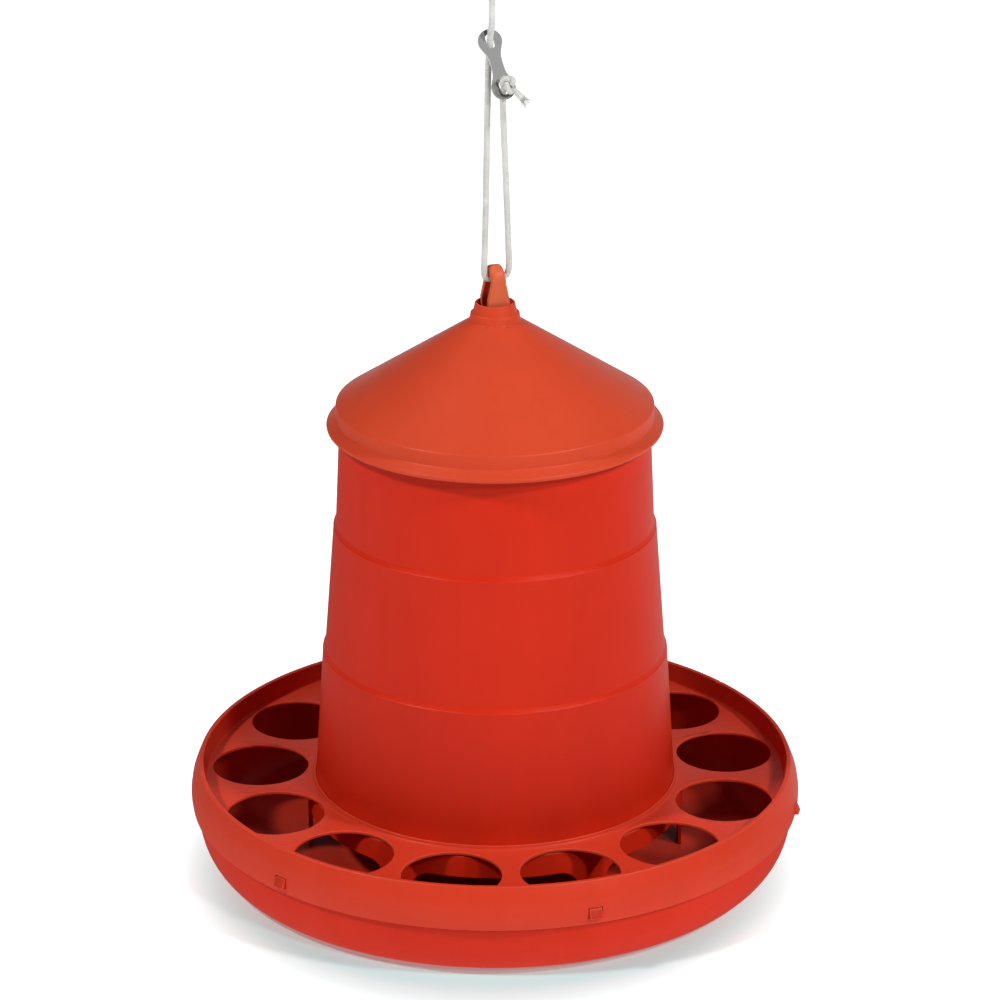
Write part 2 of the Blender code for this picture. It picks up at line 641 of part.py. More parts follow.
def as_mesh(obj):
    """Replaces a curve object by the same shape as a closed mesh."""
    bpy.context.view_layer.update()
    mesh = bpy.data.meshes.new_from_object(obj.evaluated_get(bpy.context.evaluated_depsgraph_get()))
    bm = bmesh.new()
    bm.from_mesh(mesh)
    bmesh.ops.remove_doubles(bm, verts=bm.verts, dist=0.00001)
    bm.to_mesh(mesh)
    bm.free()
    name, collection, matrix, hidden = obj.name, obj.users_collection[0], obj.matrix_world.copy(), obj.hide_render
    bpy.data.objects.remove(obj)
    made = bpy.data.objects.new(name, mesh)
    made.matrix_world = matrix
    made.hide_render = hidden
    made.display_type = "WIRE" if hidden else "TEXTURED"
    collection.objects.link(made)
    return made


def plate_outline():
    """Two round lobes joined by a waist with hollow sides."""
    points = []
    waist = PLATE_WAIST / 2
    middle = PLATE_SLOT_SPACING / 2
    for end in (1, -1):
        for step in range(11):
            angle = math.radians(-35 + 250 * step / 10) + (0.0 if end == 1 else math.pi)
            points.append((
                PLATE_LOBE_RADIUS * math.cos(angle),
                end * middle + PLATE_LOBE_RADIUS * math.sin(angle),
            ))
        points.append((-end * waist, end * middle * 0.35))
        points.append((-end * waist, -end * middle * 0.35))
    return points


def make_tensioner(parts):
    middle = PLATE_SLOT_SPACING / 2
    outlines = [plate_outline()]
    for end in (1, -1):
        slot = round_ended(PLATE_SLOT_LENGTH / 2, PLATE_SLOT_WIDTH / 2, SLOT_SIDES)
        outlines.append([(x, y + end * middle) for x, y in slot])
    plate = flat_outline("tensioner", outlines, PLATE_THICKNESS, parts, (STEEL, 0.35, 1.0))
    plate.matrix_world = plate_frame() @ Matrix.Rotation(math.pi / 2, 4, "X")
    bevel = plate.modifiers.new("Edges", "BEVEL")
    bevel.width = PLATE_BEVEL
    bevel.segments = 1
    bevel.limit_method = "ANGLE"
    bevel.angle_limit = math.radians(60)
    return plate


def smooth_route(points, spacing):
    """Points read at even spacing from a smooth curve through the given points."""
    dense = []
    ends = [2 * points[0] - points[1], *points, 2 * points[-1] - points[-2]]
    for before, start, end, after in zip(ends, ends[1:], ends[2:], ends[3:]):
        for step in range(24):
            t = step / 24
            dense.append(0.5 * (
                2 * start
                + (end - before) * t
                + (2 * before - 5 * start + 4 * end - after) * t * t
                + (3 * start - before - 3 * end + after) * t ** 3
            ))
    dense.append(points[-1])
    lengths = [0.0]
    for first, second in zip(dense, dense[1:]):
        lengths.append(lengths[-1] + (second - first).length)
    count = max(2, round(lengths[-1] / spacing))
    route = []
    index = 0
    for number in range(count + 1):
        goal = lengths[-1] * number / count
        while index < len(dense) - 2 and lengths[index + 1] < goal:
            index += 1
        span = lengths[index + 1] - lengths[index]
        route.append(dense[index].lerp(dense[index + 1], (goal - lengths[index]) / span))
    return route


def tube(name, route, collection, look=None, cyclic=False):
    curve = bpy.data.curves.new(name, "CURVE")
    curve.dimensions = "3D"
    curve.bevel_depth = CORD_DIAMETER / 2
    curve.bevel_resolution = 2
    curve.use_fill_caps = True
    spline = curve.splines.new("POLY")
    spline.points.add(len(route) - 1)
    for point, place_of_point in zip(spline.points, route):
        point.co = (*place_of_point, 1.0)
    spline.use_cyclic_u = cyclic
    return place(name, curve, collection, look)


def lump(name, size, collection, look=None):
    def build(bm):
        made = bmesh.ops.create_uvsphere(bm, u_segments=16, v_segments=8, radius=0.5)["verts"]
        bmesh.ops.scale(bm, verts=made, vec=size)

    obj = solid(name, build, collection, look)
    obj.data.shade_smooth()
    return obj


def make_cord(parts, cutters):
    eye_top = Vector((0.0, 0.0, EYE_TOP))
    white = (WHITE, 0.85, 0.0)
    route = smooth_route([point + eye_top for point in CORD_ROUTE], CORD_POINT_SPACING)
    tube("cord", route, parts, white)

    reach = PLATE_THICKNESS / 2 + REST + STOPPER_DEPTH / 2
    centre = plate_frame() @ Vector((STOPPER_SHIFT, -reach, -PLATE_SLOT_SPACING / 2))
    stopper = lump("stopper_knot", (STOPPER_WIDTH, STOPPER_DEPTH, STOPPER_LENGTH), parts, white)
    stopper.matrix_world = Matrix.Translation(centre) @ plate_frame().to_3x3().to_4x4()
    tail_way = Vector((0.62, -0.15, -0.77)).normalized()
    tail_route = [centre + tail_way * (STOPPER_LENGTH * 0.25), centre + tail_way * (STOPPER_LENGTH / 2 + TAIL_LENGTH)]
    combine(stopper, as_mesh(tube("tail", tail_route, cutters)), "UNION")

    knot_foot = route[-1] + Vector((0.0, 0.0, REST))
    knot_middle = knot_foot + Vector((0.0, 0.0, LOOP_KNOT_LENGTH / 2))
    loop = lump("top_loop", (LOOP_KNOT_WIDTH, LOOP_KNOT_WIDTH, LOOP_KNOT_LENGTH), parts, white)
    loop.location = knot_middle
    half = LOOP_WIDTH / 2 - CORD_DIAMETER / 2
    base = knot_middle + Vector((0.0, 0.0, LOOP_KNOT_LENGTH * 0.2))
    rise = LOOP_HEIGHT - CORD_DIAMETER / 2
    shape = [(0.0, 0.0), (0.35, 0.18), (0.85, 0.48), (1.0, 0.70), (0.78, 0.90), (0.0, 1.0)]
    shape += [(-x, y) for x, y in reversed(shape[1:-1])] + [(0.0, 0.0)]
    loop_route = [base + Vector((x * half, 0.0, y * rise)) for x, y in shape]
    loop_route[0] += Vector((0.0016, 0.0, 0.0))
    loop_route[-1] -= Vector((0.0016, 0.0, 0.0))
    loop_route = smooth_route(loop_route, CORD_POINT_SPACING)
    combine(loop, as_mesh(tube("loop", loop_route, cutters)), "UNION")


def main():
    clear_scene()
    parts = make_collection("poultry_feeder")
    cutters = make_collection("cutters", hidden=True)
    make_pan(parts, cutters)
    make_guard(parts, cutters)
    make_hopper(parts, cutters)
    make_lid(parts)
    make_stem(parts, cutters)
    make_nut(parts, cutters)
    make_tensioner(parts)
    make_cord(parts, cutters)


if __name__ == "__main__":
    main()
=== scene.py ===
"""Hanging poultry feeder: pan, clip-on head guard, stepped hopper, conical lid, centre stem, and a cord with a tensioner.

Metres, +Z up, in the frame of the CAD model. Angles round the feeder start at the front, -Y, and grow towards +X.
"""

import math
import random

import bmesh
import bpy
import numpy as np
from mathutils import Matrix, Vector


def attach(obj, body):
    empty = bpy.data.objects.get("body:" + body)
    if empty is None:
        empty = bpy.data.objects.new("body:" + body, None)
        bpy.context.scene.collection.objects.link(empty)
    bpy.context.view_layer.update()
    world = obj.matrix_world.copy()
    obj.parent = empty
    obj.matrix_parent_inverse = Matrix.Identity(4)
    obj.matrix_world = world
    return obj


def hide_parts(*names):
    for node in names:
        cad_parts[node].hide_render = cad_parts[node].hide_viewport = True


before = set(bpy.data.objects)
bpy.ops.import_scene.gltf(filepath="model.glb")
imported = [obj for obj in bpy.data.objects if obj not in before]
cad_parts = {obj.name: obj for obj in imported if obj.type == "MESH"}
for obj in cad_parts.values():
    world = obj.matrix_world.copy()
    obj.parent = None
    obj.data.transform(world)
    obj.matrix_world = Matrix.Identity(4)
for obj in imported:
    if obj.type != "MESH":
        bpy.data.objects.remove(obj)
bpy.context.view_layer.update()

bl_info = {
    "name": "Poultry feeder",
    "version": (1, 0, 0),
    "blender": (4, 5, 0),
    "location": "3D View > Sidebar > Feeder",
    "description": "Builds a hanging poultry feeder piece by piece round its CAD model",
    "category": "Add Mesh",
}

BODY = "root"
MM = 0.001


# ---------------------------------------------------------------- properties


def length(name, description, default):
    return bpy.props.FloatProperty(
        name=name, description=description, default=default, min=0.0, precision=5, unit="LENGTH", subtype="DISTANCE"
    )


def angle(name, description, degrees):
    return bpy.props.FloatProperty(
        name=name, description=description, default=math.radians(degrees), precision=3, unit="ROTATION", subtype="ANGLE"
    )


def colour(name, description, default):
    return bpy.props.FloatVectorProperty(
        name=name, description=description, default=default, size=3, min=0.0, max=1.0, subtype="COLOR"
    )


def amount(name, description, default, most=1.0):
    return bpy.props.FloatProperty(name=name, description=description, default=default, min=0.0, max=most)


def count(name, description, default):
    return bpy.props.IntProperty(name=name, description=description, default=default, min=1)


class FeederSizes(bpy.types.PropertyGroup):
    """Sizes of the moulded pieces."""

    sides: count("Sides", "Sides of a large round piece", 192)
    wall: length("Wall", "Thickness of the pan and the head guard", 0.0022)
    hopper_wall: length("Hopper wall", "Thickness of the hopper", 0.0020)
    lid_wall: length("Lid wall", "Thickness of the lid", 0.0018)
    pan_radius: length("Pan radius", "Outside of the pan's wall", 0.1892)
    pan_height: length("Pan height", "Height of the pan's rim over the floor", 0.0524)
    cone_radius: length("Cone radius", "Foot of the cone in the pan's floor", 0.09843)
    hub_height: length("Hub height", "Height of the flat hub in the middle of the pan", 0.0240)
    hole_radius: length("Head hole radius", "Radius of one head hole", 0.03047)
    hole_pitch: length("Head hole pitch", "Distance of the head holes from the axis", 0.15003)
    holes: count("Head holes", "Head holes in the guard", 13)
    first_hole: angle("First head hole", "Angle of the first head hole", -10.06)
    lugs: count("Lugs", "Lugs on the pan's wall", 6)
    first_lug: angle("First lug", "Angle of the first lug", 18.0)
    eye_turn: angle("Eye turn", "How far the stem's eye is turned to the left of facing sideways", 20.0)


class CordSizes(bpy.types.PropertyGroup):
    """Sizes of the cord and of its tensioner."""

    diameter: length("Diameter", "Diameter of the cord", 0.0040)
    strands: count("Strands", "Strands that run each way round the cord", 8)
    lay: length("Lay", "Length of one turn of a strand", 0.0130)
    relief: length("Relief", "Depth between the strands", 0.00026)
    plate_thickness: length("Plate thickness", "Thickness of the tensioner", 0.0020)
    plate_edge: length("Plate edge", "Rounding of the tensioner's edges", 0.00060)


class Finishes(bpy.types.PropertyGroup):
    """Colours and finishes."""

    red: colour("Red", "Moulded red of the pan, hopper and nut", (0.63, 0.024, 0.007))
    # The guard's, lid's and stem's reds are paler and more orange than the hopper's: in part a painted sheen from the
    # light above, and on the stem also painted light that shines through its thin plastic.
    guard_red: colour("Guard red", "Moulded red of the head guard", (0.64, 0.044, 0.018))
    light_red: colour("Light red", "Moulded red of the lid", (0.655, 0.062, 0.021))
    orange_red: colour("Orange red", "Moulded red of the stem", (0.66, 0.125, 0.048))
    # Painted highlight: thin rounded edges take this paler red in place of the light that catches them.
    edge_highlight_red: colour("Edge red", "Red along worn and thin edges", (0.80, 0.110, 0.050))
    # Painted shade: the pan's trough and the inside of the stem's eye take this dark red in place of the shade that
    # falls there.
    painted_shade_red: colour("Inside red", "Dull brownish red in the pan's trough", (0.50, 0.030, 0.014))
    white: colour("Cord white", "Clean yarn of the cord", (0.73, 0.73, 0.70))
    grey: colour("Cord grey", "Soiled yarn of the cord", (0.50, 0.50, 0.47))
    steel: colour("Steel", "Face of the tensioner", (0.185, 0.185, 0.182))
    floor: colour("Floor", "Floor in the feeder's shadow", (0.40, 0.67, 0.67))
    floor_far: colour("Far floor", "Floor paint outside the rim", (0.55, 0.68, 0.68))


class StudioLight(bpy.types.PropertyGroup):
    """Light of the studio."""

    world: amount("World", "Light from all sides on the feeder", 0.02, 10.0)
    key_left: amount("Left key lamp", "Power of the high lamp at the front left, in watts", 48.0, 1000.0)
    key_right: amount("Right key lamp", "Power of the high lamp at the front right, in watts", 43.0, 1000.0)
    front: amount("Front lamp", "Power of the lamp near the camera, in watts", 24.0, 1000.0)
    bounce: amount("Floor bounce", "Light that the white floor throws back on the feeder", 1.35, 10.0)
    rear: amount("Rear lamp", "Power of the high lamp behind the feeder, in watts", 6.0, 1000.0)


# ---------------------------------------------------------------- modelling helpers


def only(obj):
    """Makes the object the only one that is selected, and the active one."""
    bpy.ops.object.select_all(action="DESELECT")
    obj.select_set(True)
    bpy.context.view_layer.objects.active = obj
    return obj


def added(name):
    obj = bpy.context.view_layer.objects.active
    obj.name = name
    obj.data.name = name
    return obj


def edit(obj, kind="EDGE"):
    only(obj)
    bpy.ops.object.mode_set(mode="EDIT")
    bpy.ops.mesh.select_mode(type=kind)


def done():
    bpy.ops.object.mode_set(mode="OBJECT")


def select(obj, kind, test):
    """Selects only the vertices, edges or faces that pass the test."""
    bpy.ops.mesh.select_mode(type=kind)
    bpy.ops.mesh.select_all(action="DESELECT")
    bm = bmesh.from_edit_mesh(obj.data)
    chosen = [item for item in {"VERT": bm.verts, "EDGE": bm.edges, "FACE": bm.faces}[kind] if test(item)]
    for item in chosen:
        item.select_set(True)
    bm.select_flush_mode()
    bmesh.update_edit_mesh(obj.data)
    return len(chosen)


def radius_of(point):
    return math.hypot(point.x, point.y)


def on_ring(radius, height, slack=0.00003):
    """Test for the edges of the ring at a radius and height."""

    def test(edge):
        return all(abs(radius_of(v.co) - radius) < slack and abs(v.co.z - height) < slack for v in edge.verts)

    return test


def across_x(edge):
    """Test for an edge that runs along X."""
    return abs(edge.verts[0].co.x - edge.verts[1].co.x) > 10 * abs(edge.verts[0].co.z - edge.verts[1].co.z) + 0.0005


def at_angle(turn, radius, height=0.0):
    return Vector((radius * math.sin(turn), -radius * math.cos(turn), height))


def around(number, first=0.0):
    return [first + 2 * math.pi * index / number for index in range(number)]


def bevel(offset, segments=3):
    bpy.ops.mesh.bevel(
        offset_type="OFFSET", offset=offset, segments=segments, profile=0.5, affect="EDGES", clamp_overlap=False
    )


def round_ring(obj, before, corner, after):
    """Rounds the ring at a corner of the outline to the radius that its third value gives."""
    here = Vector(corner[:2])
    half = (Vector(before[:2]) - here).angle(Vector(after[:2]) - here) / 2
    if not select(obj, "EDGE", on_ring(*corner[:2])):
        raise RuntimeError(f"{obj.name}: no ring at {corner}")
    bend = math.pi - 2 * half
    segments = max(2, min(8, round(bend / 0.32))) if corner[2] < 0.004 else max(3, round(bend / 0.06))
    bevel(corner[2] / math.tan(half), segments)


def turned(name, corners, sides, closed=True):
    """A round piece. A circle is drawn out ring by ring through (radius, height[, rounding]) corners, all in metres."""
    bpy.ops.object.select_all(action="DESELECT")
    bpy.ops.mesh.primitive_circle_add(vertices=sides, radius=corners[0][0], location=(0, 0, corners[0][1]))
    obj = added(name)
    bpy.ops.object.transform_apply(location=True, rotation=True, scale=True)
    edit(obj)
    bpy.ops.mesh.select_all(action="SELECT")
    for here, there in zip(corners, corners[1:]):
        bpy.ops.mesh.extrude_region_move(TRANSFORM_OT_translate={"value": (0, 0, there[1] - here[1])})
        widen = there[0] / here[0]
        bpy.ops.transform.resize(value=(widen, widen, 1), center_override=(0, 0, 0))
    if closed:
        select(obj, "EDGE", lambda edge: edge.is_boundary)
        bpy.ops.mesh.bridge_edge_loops()
    else:
        for end in (corners[0], corners[-1]):
            select(obj, "EDGE", on_ring(*end[:2]))
            bpy.ops.mesh.edge_face_add()
    last = len(corners) - 1
    for index, corner in enumerate(corners):
        if len(corner) > 2 and (closed or 0 < index < last):
            round_ring(obj, corners[index - 1], corner, corners[(index + 1) % len(corners)])
    outwards()
    done()
    return obj


def outwards():
    bpy.ops.mesh.select_all(action="SELECT")
    bpy.ops.mesh.normals_make_consistent(inside=False)


def apply_all(obj):
    only(obj)
    for modifier in list(obj.modifiers):
        bpy.ops.object.modifier_apply(modifier=modifier.name)


def combine(obj, other, operation):
    """Cuts another solid from this one, or joins it on, and uses it up."""
    modifier = obj.modifiers.new(other.name, "BOOLEAN")
    modifier.operation = operation
    modifier.solver = "EXACT"
    modifier.object = other
    apply_all(obj)
    bpy.data.objects.remove(other)


def turned_copies(obj, turns):
    """The piece, which was modelled at the front, copied to each angle round the axis and joined."""
    copies = []
    for turn in turns:
        copy = obj.copy()
        copy.data = obj.data.copy()
        bpy.context.scene.collection.objects.link(copy)
        only(copy)
        copy.rotation_euler.z = turn
        bpy.ops.object.transform_apply(location=True, rotation=True, scale=True)
        copies.append(copy)
    bpy.ops.object.select_all(action="DESELECT")
    for copy in copies:
        copy.select_set(True)
    bpy.context.view_layer.objects.active = copies[0]
    bpy.ops.object.join()
    bpy.data.objects.remove(obj)
    return copies[0]


def box(name, size, centre):
    bpy.ops.object.select_all(action="DESELECT")
    bpy.ops.mesh.primitive_cube_add(size=1.0, location=centre)
    obj = added(name)
    obj.scale = size
    bpy.ops.object.transform_apply(location=True, rotation=True, scale=True)
    return obj


def cylinder(name, radius, depth, centre, sides=96):
    bpy.ops.object.select_all(action="DESELECT")
    bpy.ops.mesh.primitive_cylinder_add(vertices=sides, radius=radius, depth=depth, location=centre)
    obj = added(name)
    bpy.ops.object.transform_apply(location=True, rotation=True, scale=True)
    return obj


def mark_edges(obj):
    """Marks the narrow faces that round off an outer edge, where the materials paint a pale highlight."""
    bm = bmesh.new()
    bm.from_mesh(obj.data)
    layer = bm.faces.layers.float.new("edge")
    for face in bm.faces:
        bends = sorted(edge.calc_face_angle_signed(0.0) for edge in face.edges)
        if 2 * face.calc_area() < 0.0009 * face.calc_perimeter():
            face[layer] = min(1.0, max(0.0, (bends[-2] - 0.12) / 0.20))
    bm.to_mesh(obj.data)
    bm.free()


def mark(obj, name, test):
    """Marks the faces that pass the test, given their middle and normal, for the materials to read."""
    bm = bmesh.new()
    bm.from_mesh(obj.data)
    layer = bm.faces.layers.float.get(name) or bm.faces.layers.float.new(name)
    for face in bm.faces:
        if test(face.calc_center_median(), face.normal):
            face[layer] = 1.0
    bm.to_mesh(obj.data)
    bm.free()


def finish_piece(obj, material, slot, *nodes, smooth=32.0):
    """Shades a finished piece, gives it its material and ties it to the CAD model."""
    edit(obj)
    bpy.ops.mesh.select_all(action="SELECT")
    bpy.ops.mesh.remove_doubles(threshold=0.000002)
    bpy.ops.mesh.dissolve_degenerate(threshold=0.000002)
    done()
    only(obj)
    bpy.ops.object.transform_apply(location=True, rotation=True, scale=True)
    mark_edges(obj)
    bpy.ops.object.shade_smooth_by_angle(angle=math.radians(smooth))
    obj.data.materials.clear()
    obj.data.materials.append(material)
    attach(obj, BODY)
    if nodes:
        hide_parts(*nodes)
    return obj


# ---------------------------------------------------------------- materials


def node(tree, kind, inputs=None, **settings):
    """A new shader node. Its inputs take values or the sockets that feed them."""
    made = tree.nodes.new("ShaderNode" + kind)
    for key, value in settings.items():
        setattr(made, key, value)
    for key, value in (inputs or {}).items():
        if isinstance(value, bpy.types.NodeSocket):
            tree.links.new(value, made.inputs[key])
        else:
            made.inputs[key].default_value = value
    return made


def new_group(name, inputs, outputs):
    """A node group with named sockets: (kind, name, default) in, (kind, name) out."""
    tree = bpy.data.node_groups.new(name, "ShaderNodeTree")
    for kind, socket_name, default in inputs:
        socket = tree.interface.new_socket(socket_name, in_out="INPUT", socket_type="NodeSocket" + kind)
        socket.default_value = default
    for kind, socket_name in outputs:
        tree.interface.new_socket(socket_name, in_out="OUTPUT", socket_type="NodeSocket" + kind)
    return tree, tree.nodes.new("NodeGroupInput").outputs, tree.nodes.new("NodeGroupOutput").inputs


def math_node(tree, operation, *values, clamp=False):
    made = node(tree, "Math", dict(enumerate(values)), operation=operation)
    made.use_clamp = clamp
    return made.outputs[0]


def mix_colour(tree, share, first, second):
    made = node(tree, "Mix", data_type="RGBA")
    for key, value in (("Factor_Float", share), ("A_Color", first), ("B_Color", second)):
        socket = next(s for s in made.inputs if s.identifier == key)
        if isinstance(value, bpy.types.NodeSocket):
            tree.links.new(value, socket)
        else:
            socket.default_value = value if key == "Factor_Float" else (*value[:3], 1.0)
    return next(s for s in made.outputs if s.identifier == "Result_Color")


def moulding_group():
    """Uneven colour, flow marks and fine grain of a satin moulding, with paler edges as a painted highlight and a
    painted shade colour on faces marked inside.
    """
    found = bpy.data.node_groups.get("satin_moulding")
    if found:
        return found
    tree, given, out = new_group(
        "satin_moulding",
        [
            ("Color", "Colour", (0.6, 0.03, 0.01, 1.0)),
            ("Color", "Edge colour", (0.8, 0.1, 0.05, 1.0)),
            ("Color", "Painted shade colour", (0.3, 0.1, 0.08, 1.0)),
            ("Float", "Unevenness", 0.10),
            ("Float", "Edge", 0.45),
            ("Float", "Roughness", 0.36),
        ],
        [("Color", "Colour"), ("Float", "Roughness"), ("Float", "Grain")],
    )
    place = node(tree, "TexCoord").outputs["Object"]
    cloud = node(tree, "TexNoise", {"Vector": place, "Scale": 22.0, "Detail": 3.0, "Roughness": 0.55})
    marks = node(tree, "Mapping", {"Vector": place, "Scale": (60.0, 60.0, 9.0)})
    flow = node(tree, "TexNoise", {"Vector": marks.outputs[0], "Scale": 1.0, "Detail": 4.0, "Distortion": 0.8})
    grain = node(tree, "TexNoise", {"Vector": place, "Scale": 2600.0, "Detail": 2.0, "Roughness": 0.6})
    orange_peel = node(tree, "TexNoise", {"Vector": place, "Scale": 420.0, "Detail": 1.0})
    uneven = math_node(tree, "ADD", cloud.outputs["Fac"], flow.outputs["Fac"])
    uneven = math_node(tree, "SUBTRACT", uneven, 1.0)
    shade = math_node(tree, "MULTIPLY_ADD", uneven, given["Unevenness"], 1.0)
    toned = node(tree, "VectorMath", {0: given["Colour"], "Scale": shade}, operation="SCALE").outputs[0]
    # Painted shade: faces marked inside take the darker painted shade colour.
    painted_shade = node(tree, "Attribute", attribute_name="inside").outputs["Fac"]
    toned = mix_colour(tree, painted_shade, toned, given["Painted shade colour"])
    # Painted highlight: the narrow rounded faces that mark_edges marked turn paler.
    highlit = node(tree, "Attribute", attribute_name="edge").outputs["Fac"]
    patchy = math_node(tree, "MULTIPLY_ADD", flow.outputs["Fac"], 0.8, 0.5)
    edge = math_node(tree, "MULTIPLY", highlit, math_node(tree, "MULTIPLY", patchy, given["Edge"]), clamp=True)
    tree.links.new(mix_colour(tree, edge, toned, given["Edge colour"]), out["Colour"])
    rough = math_node(tree, "MULTIPLY_ADD", uneven, 0.16, given["Roughness"], clamp=True)
    tree.links.new(rough, out["Roughness"])
    height = math_node(tree, "MULTIPLY_ADD", orange_peel.outputs["Fac"], 1.6, grain.outputs["Fac"])
    tree.links.new(height, out["Grain"])
    return tree


def plastic(name, base, sheen=0.14, edge=0.45):
    """Satin red plastic."""
    found = bpy.data.materials.get(name)
    if found:
        return found
    finishes = bpy.context.scene.feeder_finishes
    material = bpy.data.materials.new(name)
    material.use_nodes = True
    tree = material.node_tree
    shader = tree.nodes["Principled BSDF"]
    shader.inputs["Specular IOR Level"].default_value = sheen
    shader.inputs["IOR"].default_value = 1.45
    moulding = node(tree, "Group", node_tree=moulding_group())
    moulding.inputs["Colour"].default_value = (*base, 1.0)
    moulding.inputs["Edge"].default_value = edge
    moulding.inputs["Edge colour"].default_value = (*finishes.edge_highlight_red, 1.0)
    moulding.inputs["Painted shade colour"].default_value = (*finishes.painted_shade_red, 1.0)
    tree.links.new(moulding.outputs["Colour"], shader.inputs["Base Color"])
    tree.links.new(moulding.outputs["Roughness"], shader.inputs["Roughness"])
    bump = node(tree, "Bump", {"Strength": 0.12, "Distance": 0.0001, "Height": moulding.outputs["Grain"]})
    tree.links.new(bump.outputs["Normal"], shader.inputs["Normal"])
    return material


def guard_plastic():
    return plastic("guard_red_moulding", bpy.context.scene.feeder_finishes.guard_red)


def red_plastic():
    return plastic("red_moulding", bpy.context.scene.feeder_finishes.red)


def light_red_plastic():
    return plastic("light_red_moulding", bpy.context.scene.feeder_finishes.light_red, sheen=0.2, edge=0.1)


def orange_red_plastic():
    return plastic("orange_red_moulding", bpy.context.scene.feeder_finishes.orange_red, sheen=0.2, edge=0.2)


def cord_yarn():
    """White braided yarn with soiled patches and specks, greyer down in the grooves between the strands. The braid is
    in the mesh, and the fibres follow the piece's UV map.
    """
    found = bpy.data.materials.get("cord_yarn")
    if found:
        return found
    finishes = bpy.context.scene.feeder_finishes
    material = bpy.data.materials.new("cord_yarn")
    material.use_nodes = True
    tree = material.node_tree
    shader = tree.nodes["Principled BSDF"]
    shader.inputs["Specular IOR Level"].default_value = 0.25
    shader.inputs["Sheen Weight"].default_value = 0.25
    shader.inputs["Sheen Roughness"].default_value = 0.5
    place = node(tree, "TexCoord").outputs["Object"]
    soil = node(tree, "TexNoise", {"Vector": place, "Scale": 95.0, "Detail": 4.0, "Roughness": 0.65})
    speck = node(tree, "TexNoise", {"Vector": place, "Scale": 620.0, "Detail": 2.0, "Roughness": 0.7})
    depth = node(tree, "Attribute", attribute_name="strand").outputs["Fac"]
    patches = node(tree, "MapRange", {"Value": soil.outputs["Fac"], 1: 0.38, 2: 0.66}).outputs[0]
    specks = node(tree, "MapRange", {"Value": speck.outputs["Fac"], 1: 0.52, 2: 0.70}).outputs[0]
    # Greyer down in the grooves between the strands, where the strand height is low.
    groove = node(tree, "MapRange", {"Value": depth, 1: 0.55, 2: 0.0}).outputs[0]
    greyed = math_node(tree, "MULTIPLY", patches, 0.55)
    greyed = math_node(tree, "MULTIPLY_ADD", specks, 0.40, greyed)
    greyed = math_node(tree, "MULTIPLY_ADD", groove, 0.45, greyed, clamp=True)
    tree.links.new(mix_colour(tree, greyed, finishes.white, finishes.grey), shader.inputs["Base Color"])
    rough = math_node(tree, "MULTIPLY_ADD", soil.outputs["Fac"], 0.2, 0.7)
    tree.links.new(rough, shader.inputs["Roughness"])
    fibre_place = node(tree, "Mapping", {"Vector": node(tree, "TexCoord").outputs["UV"], "Scale": (44.0, 9.0, 1.0)})
    fibres = node(tree, "TexNoise", {"Vector": fibre_place.outputs[0], "Scale": 1.0, "Detail": 3.0, "Roughness": 0.6})
    bump = node(tree, "Bump", {"Strength": 0.5, "Distance": 0.00012, "Height": fibres.outputs["Fac"]})
    tree.links.new(bump.outputs["Normal"], shader.inputs["Normal"])
    return material


def plate_steel():
    """Stamped steel: a dull grey face with brighter edges, painted nearly white and less metallic: tumbled steel there,
    with a painted highlight on top.
    """
    found = bpy.data.materials.get("plate_steel")
    if found:
        return found
    finishes = bpy.context.scene.feeder_finishes
    material = bpy.data.materials.new("plate_steel")
    material.use_nodes = True
    tree = material.node_tree
    shader = tree.nodes["Principled BSDF"]
    place = node(tree, "TexCoord").outputs["Object"]
    cloud = node(tree, "TexNoise", {"Vector": place, "Scale": 160.0, "Detail": 4.0, "Roughness": 0.6})
    pits = node(tree, "TexNoise", {"Vector": place, "Scale": 1800.0, "Detail": 2.0})
    highlit = node(tree, "Attribute", attribute_name="edge").outputs["Fac"]
    shade = math_node(tree, "MULTIPLY_ADD", cloud.outputs["Fac"], 0.22, 0.89)
    face = node(tree, "VectorMath", {0: finishes.steel, "Scale": shade}, operation="SCALE").outputs[0]
    # Painted highlight: the marked edges and sides turn nearly white and less metallic, on top of the brighter tumbled
    # steel.
    tree.links.new(mix_colour(tree, highlit, face, (0.86, 0.86, 0.86)), shader.inputs["Base Color"])
    tree.links.new(math_node(tree, "MULTIPLY_ADD", highlit, -0.7, 1.0), shader.inputs["Metallic"])
    rough = math_node(tree, "MULTIPLY_ADD", cloud.outputs["Fac"], 0.12, 0.46)
    tree.links.new(rough, shader.inputs["Roughness"])
    bump = node(tree, "Bump", {"Strength": 0.15, "Distance": 0.00006, "Height": pits.outputs["Fac"]})
    tree.links.new(bump.outputs["Normal"], shader.inputs["Normal"])
    return material


# ---------------------------------------------------------------- cord

EYE_TOP = 0.38737
CORD_CORNERS = (
    (5.45, -6.3, 110.9), (5.0, -4.3, 109.8), (4.7, -2.7, 108.0), (4.6, -1.7, 105.0), (4.7, -1.2, 99.0),
    (5.1, -0.8, 88.0), (6.2, 0.2, 62.0), (7.4, 1.4, 31.0), (8.3, 2.7, 5.0), (8.4, 3.0, -1.0),
    (8.1, 2.9, -4.6), (7.0, 2.5, -7.0), (5.1, 1.9, -8.2), (2.8, 1.0, -8.4), (0.0, 0.0, -8.4),
    (-2.8, -1.0, -8.4), (-5.0, -1.8, -8.1), (-6.2, -2.3, -6.7), (-6.5, -2.4, -4.4), (-6.5, -2.4, -1.0),
    (-6.3, -2.0, 7.0), (-5.6, -0.8, 33.0), (-4.9, 0.9, 73.0), (-4.3, 2.6, 108.0), (-4.0, 4.1, 121.1),
    (-3.7, 5.7, 126.6), (-3.3, 6.8, 130.4), (-3.0, 6.7, 133.3), (-3.0, 5.1, 136.7), (-2.9, 3.6, 140.2),
    (-2.4, 2.8, 143.4), (-1.9, 2.6, 148.0), (-1.8, 2.6, 158.0), (-1.9, 2.4, 179.5),
)


